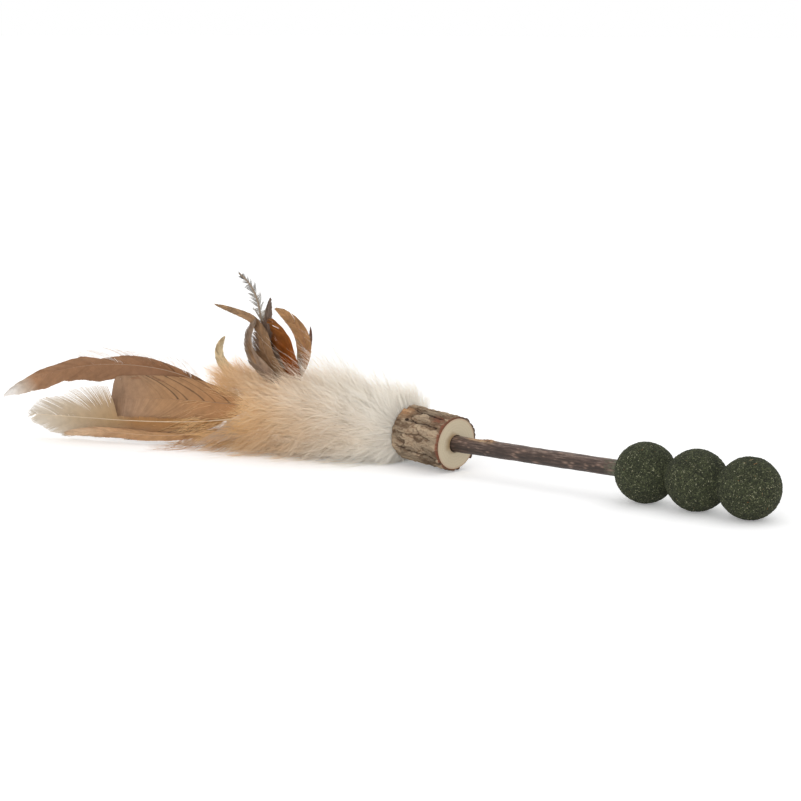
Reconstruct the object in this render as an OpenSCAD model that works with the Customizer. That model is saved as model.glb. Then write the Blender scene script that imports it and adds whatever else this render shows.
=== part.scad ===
/* [Stick] */
// Diameter of the twig with its bark
stick_d = 7.3; // [6:0.1:7.8]
// Length of bare twig between the log's cut face and the first ball
stick_open = 87.4; // [60:0.2:110]
// Depth of the twig in the log
stick_in_log = 18; // [12:0.5:19]
// Length of the peeled knot on the twig
knot_len = 15; // [8:0.5:20]
// Width of the knot
knot_w = 4.4; // [3:0.1:5]
// Distance from the cut face to the middle of the knot
knot_at = 16; // [12:0.5:24]
// Height that the knot stands out from the twig
knot_rise = 0.9; // [0.4:0.1:1.5]

/* [Herb balls] */
// Diameter of one pressed ball
ball_d = 26; // [22:0.2:28]
// Width of the flat pressed where two balls meet
ball_flat_d = 7.2; // [5:0.1:9]
// Distance that the twig reaches past the middle of the last ball
stick_past_last = 6; // [2:0.5:8]

/* [Log] */
// Diameter of the wood under the bark
wood_d = 22.9; // [20:0.1:23.5]
// Length of the log
log_len = 29; // [27:0.5:32]
// Mean thickness of the bark
bark_t = 0.8; // [0.6:0.1:1.2]
// Depth of the bark's furrows to each side of its mean surface
furrow = 0.35; // [0.1:0.05:0.4]
// Angle between the log and the twig, seen from above
log_skew_angle = 7; // [0:0.5:10]
// Angle by which the log's far end stands higher than the twig
log_rise_angle = 3; // [0:0.5:4]
// Diameter of the drilled hole that takes the twig
stick_hole_d = 8.1; // [8:0.1:9.5]
// Length of the chip that is broken out of the bark at the cut face
chip_len = 2.6; // [1:0.1:4]
// Diameter of the small pit in the bark
pit_d = 1.8; // [1:0.1:3]

/* [Glue] */
// Room round the quills and the twig where they sit in glue or in a ball
seat_gap = 0.1; // [0.05:0.05:0.15]
// Diameter of the hole that takes the feathers
feather_hole_d = 9.6; // [9.2:0.1:11]
// Depth of the hole that takes the feathers
feather_hole_depth = 8; // [6.5:0.5:9]
// Depth of each quill in the glue
quill_in = 5.5; // [3:0.5:6]

/* [Feather shafts] */
// Diameter of a quill where it leaves the glue
quill_d = 0.9; // [0.7:0.1:1]
// Diameter of a shaft at the feather's tip
shaft_tip_d = 0.4; // [0.3:0.05:0.5]
// Thickness of a vane
vane_t = 0.4; // [0.3:0.05:0.5]
// Length over which the shafts turn out of the log's direction
neck_len = 12; // [8:0.5:16]
// Length over which the shafts lie side by side
lead_len = 40; // [36:0.5:42]

/* [Down] */
// Length of the longest down plume
down_len = 122; // [110:1:130]
// Half width of a plume measured outward from the middle of the tail
down_deep = 7.8; // [6:0.1:8]
// Half width of a plume measured round the tail
down_wide = 5.4; // [4:0.1:5.6]
// Length that a plume takes to reach its full width
down_swell = 30; // [26:1:34]
// Angle at which the plumes spread sideways as they leave the log
down_side_angle = 44; // [40:1:48]
// Angle at which the plumes spread up and down as they leave the log
down_high_angle = 34; // [31:1:36]

/* [Long feathers] */
// Length of the brown feather that arches over the others
arch_len = 225; // [215:1:230]
// Width of the arched feather
arch_w = 11; // [8:0.5:12]
// Length of the pale feather on the near side
pale_len = 197; // [185:1:205]
// Width of the pale feather
pale_w = 26; // [16:0.5:27]
// Length of the broad tan feather with the square tip
broad_len = 155; // [145:1:165]
// Width of the broad feather
broad_w = 19; // [14:0.5:20]
// Length of the low feather
low_len = 177; // [165:1:182]
// Width of the low feather
low_w = 6; // [4:0.5:7]

/* [Curled feathers] */
// Length of the tan feather that curls into a crescent
crescent_len = 108.6; // [106:0.2:110]
// Width of the crescent
crescent_w = 5.8; // [3:0.2:6.4]
// Length of the dark narrow feather behind the crescent
sliver_len = 94.2; // [92:0.2:96]
// Width of the narrow feather
sliver_w = 2.2; // [1.4:0.2:3]
// Length of the hollow orange-brown feather
scoop_len = 99; // [96:0.2:100]
// Width of the hollow feather
scoop_w = 9; // [6:0.2:9.6]
// Length of the upright feather
spike_len = 107.4; // [104:0.2:110]
// Width of the upright feather
spike_w = 6.6; // [4:0.2:7]
// Length of the feather whose tip streams back
streamer_len = 119.6; // [116:0.2:122]
// Width of the streaming feather
streamer_w = 5.4; // [3:0.2:6]
// Length of the tallest feather, with loose barbs
fuzzy_len = 128; // [124:0.2:130]
// Width of the tallest feather
fuzzy_w = 5.4; // [3:0.2:6]
// Length of the narrow bent feather
strip_len = 104.8; // [102:0.2:107]
// Width of the narrow bent feather
strip_w = 4.4; // [3:0.2:5]
// Length of the cream feather with the hooked tip
cream_len = 120; // [117:0.2:123]
// Width of the cream feather
cream_w = 3.8; // [2.4:0.2:4.4]

/* [Hidden] */
$fn = 64;
cut = 0.5;

// Places along the twig, which lies on X with the cut face at zero
ball_count = 3;
ball_r = ball_d / 2;
ball_pitch = sqrt(pow(ball_d, 2) - pow(ball_flat_d, 2));
first_ball_x = stick_open + sqrt(pow(ball_r, 2) - pow(stick_d / 2, 2));
stick_end_x = first_ball_x + (ball_count - 1) * ball_pitch + stick_past_last;

// The knot is a spindle whose side is an arc
knot_r = knot_w / 2;
knot_arc_r = (pow(knot_len / 2, 2) + pow(knot_r, 2)) / knot_w;

// Bark: mean radius, grid, and where the chip and the pit lie round it from the top
bark_r = wood_d / 2 + bark_t;
bark_sides = 48;
bark_rings = 10;
chip_angle = 32;
chip_arc = 40;
pit_angle = 22;
pit_share = 0.72;
pit_depth = bark_t * 0.8;

// Places of the quills in the glue, as shares of the hole's radius to the far side and up
arch_spot_share = [0.15, 0.05];
broad_spot_share = [-0.15, 0.05];
pale_spot_share = [-0.15, -0.25];
low_spot_share = [-0.15, -0.52];
crescent_spot_share = [0.08, 0.58];
sliver_spot_share = [0.29, 0.58];
scoop_spot_share = [-0.16, 0.58];
spike_spot_share = [-0.05, 0.33];
streamer_spot_share = [-0.3, 0.33];
fuzzy_spot_share = [0.2, 0.33];
strip_spot_share = [-0.5, 0.33];
cream_spot_share = [0.45, 0.33];
down_spot_share = 0.84;

// All the shafts leave the log side by side along one lead, which turns to the near side
lead_rise_angle = 7;
lead_turn_angle = 18;

// Past the lead, shares of a feather's length with the rise, the turn to the near side and the
// roll of its vane there in degrees, between which the shaft runs in arcs
arch_shares = [[0.32, -2, 16, 0], [0.46, 25, 15, 10], [0.6, 6, 16, 25], [0.8, -11, 17, -15],
    [1, -33, 18, -30]];
pale_shares = [[0.4, -11, 21, 0], [0.6, -3, 21.5, -8], [0.8, 1, 21.5, -14], [1, 0, 21.5, -18]];
broad_shares = [[0.4, 1, 17.5, 0], [0.7, 1, 18, 8], [1, -5, 19, 14]];
low_shares = [[0.4, -13, 23, 0], [0.6, -11, 23, 0], [0.8, 3, 24, -8], [1, -8, 24, -10]];
crescent_shares = [[0.5, 10, 17, 0], [0.62, 118, 17, 0], [0.75, 98, 17, 20], [0.88, 46, 17, 10],
    [1, 21, 17, 0]];
sliver_shares = [[0.55, 3, 14.2, 0], [0.68, 88, 14.2, 0], [0.82, 120, 14.2, 30], [1, 86, 14.2, 40]];
scoop_shares = [[0.5, -3, 20, 0], [0.62, 84, 20, 0], [0.8, 79, 20, -30], [1, 34, 20, -30]];
spike_shares = [[0.5, 42, 18.5, 0], [0.65, 46, 18.5, 0], [0.8, 77, 18.5, 20], [1, 106, 18.5, 20]];
streamer_shares = [[0.45, 43, 22.5, 0], [0.6, 40, 22.5, 0], [0.75, 85, 22.5, 0], [0.85, 34, 22, 10],
    [1, 3, 22, 20]];
fuzzy_shares = [[0.45, 18, 15.5, 0], [0.6, 67, 15.5, 0], [0.75, 80, 15.5, 10], [0.85, 79, 15.5, 10],
    [1, 31, 15.5, 10]];
strip_shares = [[0.5, 25, 24, 0], [0.65, 39, 24, 0], [0.8, 54, 24, -20], [1, 131, 24, -40]];
cream_shares = [[0.6, 33, 11.5, 0], [0.75, -14, 11.5, 0], [0.88, 53, 11.5, 20], [1, 142, 11.5, 40]];
feather_rings = 28;

// Per plume of down: its angle round the tail from the top, and its share of the longest one
down_shares = [[43, 0.8], [98, 0.9], [151, 1], [-151, 0.96], [-98, 0.88], [-43, 0.78]];
down_rise_angle = 11.2;
down_rings = 14;
down_sides = 10;

// Direction of a shaft that rises by p degrees and turns by y, and the two sides square to it
function along(p, y) = [-cos(p) * cos(y), -cos(p) * sin(y), sin(p)];
function upward(p, y) = [sin(p) * cos(y), sin(p) * sin(y), cos(p)];
function level(y) = [-sin(y), cos(y), 0];
back_way = along(log_rise_angle, -log_skew_angle);

// Two columns of a table, for lookup
function column(rows, k) = [for (r = rows) [r[0], r[k]]];

// Points of a shaft from start, each a small step further along the shaft's own direction
function shaft(start, length, rows, steps) =
    let (rise = column(rows, 1), turn = column(rows, 2), step = length / steps)
    [for (i = 0, p = start; i <= steps;
        p = p + step * along(lookup((i + 0.5) / steps, rise), lookup((i + 0.5) / steps, turn)),
        i = i + 1) p];

// Place of a quill on the log's rear face
function rear(spot) =
    let (r = feather_hole_d / 2)
    log_len * back_way + r * spot[0] * level(-log_skew_angle)
    + r * spot[1] * upward(log_rise_angle, -log_skew_angle);
function down_spot(k) = down_spot_share * [sin(down_shares[k][0]), cos(down_shares[k][0])];
quill_spots = concat([arch_spot_share, broad_spot_share, pale_spot_share, low_spot_share,
    crescent_spot_share, sliver_spot_share, scoop_spot_share, spike_spot_share, streamer_spot_share,
    fuzzy_spot_share, strip_spot_share, cream_spot_share],
    [for (k = [0 : len(down_shares) - 1]) down_spot(k)]);

// Headings of a whole feather: square to the log at first, then along the lead, then its own
function headings(length, own) = concat([[0, log_rise_angle, -log_skew_angle, 0],
    [neck_len / length, lead_rise_angle, lead_turn_angle, 0],
    [lead_len / length, lead_rise_angle, lead_turn_angle, 0]], own);

// Places the flat points [side, normal] of one ring about a point of the shaft
function ring(at, p, y, roll, flat) =
    let (u = upward(p, y), h = level(y),
        side = u * cos(roll) + h * sin(roll), normal = h * cos(roll) - u * sin(roll))
    [for (q = flat) at + q[0] * side + q[1] * normal];

// One closed skin over rings that have equal numbers of points
module skin(rings) {
    n = len(rings[0]);
    last = len(rings) - 1;
    points = [for (r = rings) each r];
    sides = [for (i = [0 : last - 1], j = [0 : n - 1])
        let (a = i * n + j, b = i * n + (j + 1) % n)
        each [[a, b, b + n], [a, b + n, a + n]]];
    first_end = [for (j = [n - 1 : -1 : 0]) j];
    last_end = [for (j = [0 : n - 1]) last * n + j];
    polyhedron(points, concat([first_end], sides, [last_end]));
}

// Share of its full width that a vane has at share u of itself: it swells quickly and ends round
function vane_form(u, swell, blunt) =
    u <= 0 ? 0 : (1 - pow(1 - min(u, 1), swell)) * sqrt(1 - pow(min(u, 1), blunt));

// Section of a feather: its shaft in the middle and a thin vane to each side that droops by camber
function vane_section(r, up, down, form, camber) =
    let (e = min(vane_t, r) / 2, h = form * vane_t * 0.6 + (1 - form) * r * 0.8,
        a = r + up * form, b = r + down * form, w = max(up, down),
        fall_a = camber * pow(a / w, 2) * form, fall_b = camber * pow(b / w, 2) * form)
    [[a, -e - fall_a], [a / 2, -h - fall_a / 4], [0, -r], [-b / 2, -h - fall_b / 4], [-b, -e - fall_b],
     [-b, e - fall_b], [-b / 2, h - fall_b / 4], [0, r], [a / 2, h - fall_a / 4], [a, e - fall_a]];

// A whole feather: quill in the glue, bare shaft, and vanes from share vane_from to the tip,
// with up and down as the widths of its two vanes
module feather(spot, length, own, up, down, vane_from, swell, blunt, camber) {
    rows = headings(length, own);
    start = rear(spot);
    points = shaft(start, length, rows, feather_rings);
    foot = ring(start - quill_in * back_way, log_rise_angle, -log_skew_angle, 0,
        vane_section(quill_d / 2, up, down, 0, 0));
    skin(concat([foot], [for (i = [0 : feather_rings])
        let (t = i / feather_rings, form = vane_form((t - vane_from) / (1 - vane_from), swell, blunt))
        ring(points[i], lookup(t, column(rows, 1)), lookup(t, column(rows, 2)), lookup(t, column(rows, 3)),
            vane_section((quill_d + (shaft_tip_d - quill_d) * t) / 2, up, down, form, camber))]));
}

// Section of a plume of down: an ellipse round its quill
function down_section(r, deep, wide) =
    [for (k = [0 : down_sides - 1]) let (a = -360 * k / down_sides)
        [(r + deep) * cos(a), (r + wide) * sin(a)]];

// A plume of down: a quill that swells into a soft spindle, spread from the tail's middle
module plume(k) {
    angle = down_shares[k][0];
    length = down_len * down_shares[k][1];
    swell = down_swell / length;
    fan = [[0, 1], [swell, 0.35], [1.6 * swell, 0], [1, -0.04]];
    lead = [[0.06, down_rise_angle], [swell, down_rise_angle], [1.6 * swell, 0], [1, 0]];
    rows = concat([[0, log_rise_angle, -log_skew_angle]], [for (f = lead)
        [f[0], f[1] + down_high_angle * cos(angle) * lookup(f[0], fan),
            lead_turn_angle - down_side_angle * sin(angle) * lookup(f[0], fan)]]);
    start = rear(down_spot(k));
    points = shaft(start, length, rows, down_rings);
    foot = ring(start - quill_in * back_way, log_rise_angle, -log_skew_angle, angle,
        down_section(quill_d / 2, 0, 0));
    skin(concat([foot], [for (i = [0 : down_rings])
        let (t = i / down_rings, form = pow(min(1, t / swell), 0.8) * sqrt(1 - pow(t, 5)))
        ring(points[i], lookup(t, column(rows, 1)), lookup(t, column(rows, 2)), angle,
            down_section(quill_d / 2, down_deep * form, down_wide * form))]));
}

// Sets what follows in the log's own direction, with the log's axis on X
module log_frame() {
    rotate([0, log_rise_angle, -log_skew_angle]) children();
}

module log_wood() {
    color("#e6d3a8") difference() {
        log_frame() rotate([0, -90, 0]) cylinder(h = log_len, d = wood_d);
        translate([-stick_in_log, 0, 0]) rotate([0, 90, 0])
            cylinder(h = stick_in_log + stick_hole_d / 2, d = stick_hole_d);
        log_frame() translate([-log_len - cut, 0, 0]) rotate([0, 90, 0])
            cylinder(h = feather_hole_depth + cut, d = feather_hole_d);
    }
}

// Height of the bark over its mean surface: crossing waves leave furrows that wander along the log
function bark_height(a, share) = furrow * (
    0.5 * sin(9 * a + 70 * sin(150 * share)) + 0.3 * sin(16 * a - 220 * share)
    + 0.2 * sin(5 * a + 400 * share));

module log_bark() {
    chip_w = 2 * bark_r * sin(chip_arc / 2);
    color("#7d6a58") difference() {
        log_frame() skin([for (i = [0 : bark_rings]) let (share = i / bark_rings)
            [for (j = [0 : bark_sides - 1])
                let (a = 360 * j / bark_sides, r = bark_r + bark_height(a, share))
                [-log_len * share, r * cos(a), r * sin(a)]]]);
        log_frame() translate([cut, 0, 0]) rotate([0, -90, 0]) cylinder(h = log_len + 2 * cut, d = wood_d);
        log_frame() rotate([chip_angle, 0, 0]) translate([-chip_len, -chip_w / 2, -2 * bark_r])
            cube([chip_len + cut, chip_w, 2 * bark_r]);
        log_frame() rotate([pit_angle, 0, 0]) translate([-log_len * pit_share, 0, bark_r - pit_depth])
            cylinder(h = pit_depth + furrow + cut, d = pit_d);
    }
}

module stick() {
    color("#5f4c42") union() {
        translate([-stick_in_log, 0, 0]) rotate([0, 90, 0])
            cylinder(h = stick_in_log + stick_end_x, d = stick_d);
        translate([knot_at, 0, stick_d / 2 + knot_rise - knot_r]) rotate([0, 90, 0]) rotate_extrude()
            intersection() {
                translate([knot_r - knot_arc_r, 0]) circle(r = knot_arc_r);
                translate([0, -knot_len]) square([knot_len, 2 * knot_len]);
            }
    }
}

// Glue that fills the room between the twig and its hole, back from the cut face
module stick_glue() {
    color("#c9a35a") translate([-stick_in_log, 0, 0]) rotate([0, 90, 0]) difference() {
        cylinder(h = stick_in_log - stick_hole_d / 2, d = stick_hole_d);
        translate([0, 0, -cut]) cylinder(h = stick_in_log + 2 * cut, d = stick_d);
    }
}

// Glue in the rear hole, with a bore for each quill
module feather_glue() {
    bore_d = quill_d + 2 * seat_gap;
    bore_len = quill_in + seat_gap + cut;
    color("#d8c48c") difference() {
        log_frame() translate([-log_len, 0, 0]) rotate([0, 90, 0])
            cylinder(h = feather_hole_depth, d = feather_hole_d);
        for (spot = quill_spots)
            translate(rear(spot) + cut * back_way) log_frame() rotate([0, 90, 0])
                cylinder(h = bore_len, d = bore_d, $fn = 24);
    }
}

// A ball pressed flat against its neighbours, with the hole that the twig is pushed into
module ball(k) {
    x = first_ball_x + (k - 1) * ball_pitch;
    before = k > 1 ? ball_pitch / 2 : ball_r;
    after = k < ball_count ? ball_pitch / 2 : ball_r;
    hole_len = min(ball_d + 2 * cut, stick_end_x + seat_gap - x + ball_r + cut);
    color("#3a3f2b") difference() {
        intersection() {
            translate([x, 0, 0]) rotate([0, 90, 0]) sphere(d = ball_d);
            translate([x - before, -ball_r, -ball_r]) cube([before + after, ball_d, ball_d]);
        }
        translate([x - ball_r - cut, 0, 0]) rotate([0, 90, 0])
            cylinder(h = hole_len, d = stick_d + 2 * seat_gap);
    }
}

module feather_arch() {
    color("#96735a") feather(arch_spot_share, arch_len, arch_shares, arch_w / 2, arch_w / 2, 0.36, 8, 6,
        arch_w * 0.1);
}

// The pale feather's upper vane is the wider one
module feather_pale() {
    upper_share = 0.62;
    color("#d2c3af") feather(pale_spot_share, pale_len, pale_shares, pale_w * upper_share,
        pale_w * (1 - upper_share), 0.5, 5, 3, pale_w * 0.08);
}

module feather_broad() {
    color("#aa825f") feather(broad_spot_share, broad_len, broad_shares, broad_w / 2, broad_w / 2, 0.55, 5, 14,
        broad_w * 0.08);
}

module feather_low() {
    color("#b98d69") feather(low_spot_share, low_len, low_shares, low_w / 2, low_w / 2, 0.5, 5, 4,
        low_w * 0.08);
}

// A curled feather, with vanes of equal width that are hollow on one side
module curl(spot, length, own, w, vane_from, tone) {
    color(tone) feather(spot, length, own, w / 2, w / 2, vane_from, 4, 3, w * 0.15);
}

log_wood();
log_bark();
stick();
stick_glue();
feather_glue();
ball(1);  // ball_1
ball(2);  // ball_2
ball(3);  // ball_3
color("#e6dccb") plume(0);  // down_1
color("#e2d3b8") plume(1);  // down_2
color("#d9c39c") plume(2);  // down_3
color("#d4b98c") plume(3);  // down_4
color("#ddcaa6") plume(4);  // down_5
color("#ece5d8") plume(5);  // down_6
feather_arch();
feather_pale();
feather_broad();
feather_low();
curl(crescent_spot_share, crescent_len, crescent_shares, crescent_w, 0.58, "#a8835f");  // curl_crescent
curl(sliver_spot_share, sliver_len, sliver_shares, sliver_w, 0.62, "#6b4a3a");  // curl_sliver
curl(scoop_spot_share, scoop_len, scoop_shares, scoop_w, 0.58, "#96602b");  // curl_scoop
curl(spike_spot_share, spike_len, spike_shares, spike_w, 0.58, "#6f5a4c");  // curl_spike
curl(streamer_spot_share, streamer_len, streamer_shares, streamer_w, 0.5, "#8a6a4d");  // curl_streamer
curl(fuzzy_spot_share, fuzzy_len, fuzzy_shares, fuzzy_w, 0.66, "#8f877c");  // curl_fuzzy
curl(strip_spot_share, strip_len, strip_shares, strip_w, 0.6, "#97785c");  // curl_strip
curl(cream_spot_share, cream_len, cream_shares, cream_w, 0.7, "#beb496");  // curl_cream
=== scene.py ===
"""Looks of a cat teaser wand: pressed herb balls on a twig, a barked log, and a tail of down and feathers."""

import logging
import math
from dataclasses import dataclass, field
from enum import IntEnum

import bmesh
import bpy
import numpy as np
from mathutils import Matrix, Vector, noise


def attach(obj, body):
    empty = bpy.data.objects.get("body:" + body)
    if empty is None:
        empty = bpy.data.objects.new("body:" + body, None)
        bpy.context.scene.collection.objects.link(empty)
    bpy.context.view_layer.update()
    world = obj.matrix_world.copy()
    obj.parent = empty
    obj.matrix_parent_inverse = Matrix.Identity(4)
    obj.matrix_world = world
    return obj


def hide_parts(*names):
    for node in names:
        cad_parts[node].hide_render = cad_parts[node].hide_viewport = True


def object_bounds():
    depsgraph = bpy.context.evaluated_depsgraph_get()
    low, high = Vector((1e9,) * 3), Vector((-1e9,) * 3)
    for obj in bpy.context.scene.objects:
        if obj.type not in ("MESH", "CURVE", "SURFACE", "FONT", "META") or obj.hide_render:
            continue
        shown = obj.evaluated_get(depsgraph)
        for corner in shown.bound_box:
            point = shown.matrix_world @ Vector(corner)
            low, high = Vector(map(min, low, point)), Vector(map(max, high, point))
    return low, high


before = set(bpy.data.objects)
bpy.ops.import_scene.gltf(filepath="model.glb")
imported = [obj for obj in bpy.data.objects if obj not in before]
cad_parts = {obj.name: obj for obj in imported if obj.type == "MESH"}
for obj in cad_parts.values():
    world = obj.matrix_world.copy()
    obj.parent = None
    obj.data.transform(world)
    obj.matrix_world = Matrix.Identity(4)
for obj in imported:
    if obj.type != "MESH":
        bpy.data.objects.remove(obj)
cad_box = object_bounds()

MM = 0.001
LOG_SKEW, LOG_RISE, LOG_LENGTH = 7.0, 3.0, 29.0
QUILL_HOLE_R = 4.8
QUILL_DEPTH = 4.5
NECK, LEAD, LEAD_RISE, LEAD_TURN = 12.0, 40.0, 7.0, 18.0
FLOOR_Z = cad_box[0].z / MM
Lines = np.ndarray
log = logging.getLogger("cat_teaser_wand")


class Side(IntEnum):
    """The two sides of a shaft, by the sign of the way from it."""

    UPPER = 1
    LOWER = -1


def along(rise: Lines, turn: Lines) -> Lines:
    """Gives the directions of headings: degrees above the level, and degrees towards the near side."""
    p, y = np.radians(rise), np.radians(turn)
    return np.stack([-np.cos(p) * np.cos(y), -np.cos(p) * np.sin(y), np.sin(p)], -1)


def upward(rise: Lines, turn: Lines) -> Lines:
    """Gives the directions square to headings that point up."""
    p, y = np.radians(rise), np.radians(turn)
    return np.stack([np.sin(p) * np.cos(y), np.sin(p) * np.sin(y), np.cos(p)], -1)


def level(turn: Lines) -> Lines:
    """Gives the level directions square to headings, which point to the far side."""
    y = np.radians(turn)
    return np.stack([-np.sin(y), np.cos(y), np.zeros_like(y)], -1)


def eased(x: Lines, low: float = 0.0, high: float = 1.0) -> Lines:
    """Rises smoothly from 0 where x is low to 1 where it is high."""
    t = np.clip((x - low) / (high - low), 0, 1)
    return t * t * (3 - 2 * t)


def unit(vectors: Lines) -> Lines:
    """Scales vectors to length 1."""
    return vectors / np.maximum(np.linalg.norm(vectors, axis=-1, keepdims=True), 1e-9)


def rear(spot: tuple[float, float]) -> Lines:
    """Gives the place on the log's rear face of a spot, in shares of the hole's radius to the far side and up."""
    back, side, up = along(LOG_RISE, -LOG_SKEW), level(-LOG_SKEW), upward(LOG_RISE, -LOG_SKEW)
    return LOG_LENGTH * back + QUILL_HOLE_R * (spot[0] * side + spot[1] * up)


@dataclass
class Shaft:
    """The line of a shaft, stepped along headings that change with its share, as the part's source has it."""

    start: Lines
    length: float
    rows: list[tuple[float, float, float, float]]
    steps: int = 280

    def __post_init__(self) -> None:
        """Steps along the headings once."""
        self.table = np.array(self.rows, float)
        share = (np.arange(self.steps) + 0.5) / self.steps
        ways = along(*(np.interp(share, self.table[:, 0], self.table[:, k]) for k in (1, 2)))
        self.points = self.start + np.vstack([np.zeros(3), np.cumsum(ways * self.length / self.steps, 0)])

    def at(self, x: Lines) -> tuple[Lines, Lines, Lines, Lines]:
        """Gives the shaft's places and directions.

        Args:
            x: Millimetres along the shaft, which may pass its ends.

        Returns:
            Places, ways forward, sides and normals.
        """
        share = np.clip(x / self.length, 0, 1)
        rise, turn, roll = (np.interp(share, self.table[:, 0], self.table[:, k]) for k in (1, 2, 3))
        steps = np.linspace(0, self.length, self.steps + 1)
        place = np.stack([np.interp(x, steps, self.points[:, k]) for k in range(3)], -1)
        forward = along(rise, turn)
        place = place + (np.maximum(x - self.length, 0) + np.minimum(x, 0))[..., None] * forward
        up, flat = upward(rise, turn), level(turn)
        c, s = np.cos(np.radians(roll))[..., None], np.sin(np.radians(roll))[..., None]
        return place, forward, up * c + flat * s, flat * c - up * s


def linear(code: str) -> tuple[float, float, float, float]:
    """Turns an sRGB hex colour such as #d2c3af into linear values with an alpha of 1."""
    parts = (int(code[i:i + 2], 16) / 255 for i in (1, 3, 5))
    return (*(c / 12.92 if c <= 0.04045 else ((c + 0.055) / 1.055) ** 2.4 for c in parts), 1.0)


def add_node(tree: bpy.types.NodeTree, kind: str, inputs: dict | None = None,
             stops: list[tuple[float, str]] | None = None, out: int | str = 0,
             **settings: object) -> bpy.types.NodeSocket | None:
    """Adds a node with its settings, its values and its links.

    Args:
        tree: The material's node tree.
        kind: The node's type without its prefix.
        inputs: Values, hex colours or sockets to link, by input name or number.
        stops: Places and hex colours of a ramp, its two ends first.
        out: The output to return, by number or name.
        settings: The node's own settings.

    Returns:
        The output's socket, or None for a node without one.
    """
    node = tree.nodes.new("ShaderNode" + kind)
    for key, value in settings.items():
        setattr(node, key, value)
    for key, value in (inputs or {}).items():
        if isinstance(value, bpy.types.NodeSocket):
            tree.links.new(value, node.inputs[key])
        else:
            node.inputs[key].default_value = linear(value) if isinstance(value, str) else value
    for i, (place, code) in enumerate(stops or []):
        stop = node.color_ramp.elements[i] if i < 2 else node.color_ramp.elements.new(place)
        stop.position, stop.color = place, linear(code)
    return node.outputs[out] if node.outputs else None


def new_tree(name: str) -> tuple[bpy.types.Material, bpy.types.NodeTree]:
    """Makes an empty node material.

    Args:
        name: The material's name.

    Returns:
        The material and its cleared node tree.
    """
    material = bpy.data.materials.new(name)
    material.use_nodes = True
    material.node_tree.nodes.clear()
    return material, material.node_tree


def finished(material: bpy.types.Material, colour: bpy.types.NodeSocket,
             normal: bpy.types.NodeSocket | None = None, **values: float) -> bpy.types.Material:
    """Closes a material with its shader and output.

    Args:
        material: The material.
        colour: The base colour.
        normal: The bump, or None.
        values: Other inputs of the shader, with spaces written as underscores.

    Returns:
        The material.
    """
    inputs = {"Base Color": colour, **{k.replace("_", " "): v for k, v in values.items()}}
    if normal:
        inputs["Normal"] = normal
    shader = add_node(material.node_tree, "BsdfPrincipled", inputs)
    add_node(material.node_tree, "OutputMaterial", {"Surface": shader})
    return material


def seen(tree: bpy.types.NodeTree) -> bpy.types.NodeSocket:
    """Tells the rays that look, from the camera or through a gloss or a pane, from those that light.

    Args:
        tree: A node tree.

    Returns:
        1 for the rays that look and 0 for the others.
    """
    kinds = [add_node(tree, "LightPath", out=k) for k in ("Is Camera Ray", "Is Glossy Ray", "Is Transmission Ray")]
    either = add_node(tree, "Math", {0: kinds[0], 1: kinds[1]}, operation="MAXIMUM")
    return add_node(tree, "Math", {0: either, 1: kinds[2]}, operation="MAXIMUM")


def linked(name: str, data: bpy.types.ID) -> bpy.types.Object:
    """Adds an object to the scene.

    Args:
        name: Name of the object.
        data: Its mesh, camera or light.

    Returns:
        The object.
    """
    thing = bpy.data.objects.new(name, data)
    bpy.context.scene.collection.objects.link(thing)
    return thing


def mesh_of(name: str, bm: bmesh.types.BMesh) -> bpy.types.Mesh:
    """Turns an edited mesh into plain mesh data, and frees it.

    Args:
        name: Name of the mesh.
        bm: The edited mesh.

    Returns:
        The mesh.
    """
    mesh = bpy.data.meshes.new(name)
    bm.to_mesh(mesh)
    bm.free()
    return mesh


def piece_of(mesh: bpy.types.Mesh, name: str, smooth: bool = True, **shares: Lines) -> bpy.types.Object:
    """Makes a piece of a mesh.

    Args:
        mesh: The mesh.
        name: Name of the piece.
        smooth: Whether its faces are shaded smooth.
        shares: Values for the material, one per point.

    Returns:
        The piece.
    """
    for key, value in shares.items():
        mesh.attributes.new(key, "FLOAT", "POINT").data.foreach_set("value", value.astype(np.float32).ravel())
    mesh.polygons.foreach_set("use_smooth", np.full(len(mesh.polygons), smooth))
    mesh.update()
    return linked(name, mesh)


def turn_from(angle: Lines, centre: float) -> Lines:
    """Gives angles from a centre, from half a turn back to half a turn on."""
    return (angle - centre + math.pi) % math.tau - math.pi


def tube(x: Lines, angle: Lines, radius: Lines | float) -> Lines:
    """Gives points round the X axis, by place along it, angle round it and radius."""
    return np.stack([x, np.cos(angle) * radius, np.sin(angle) * radius], -1)


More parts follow.
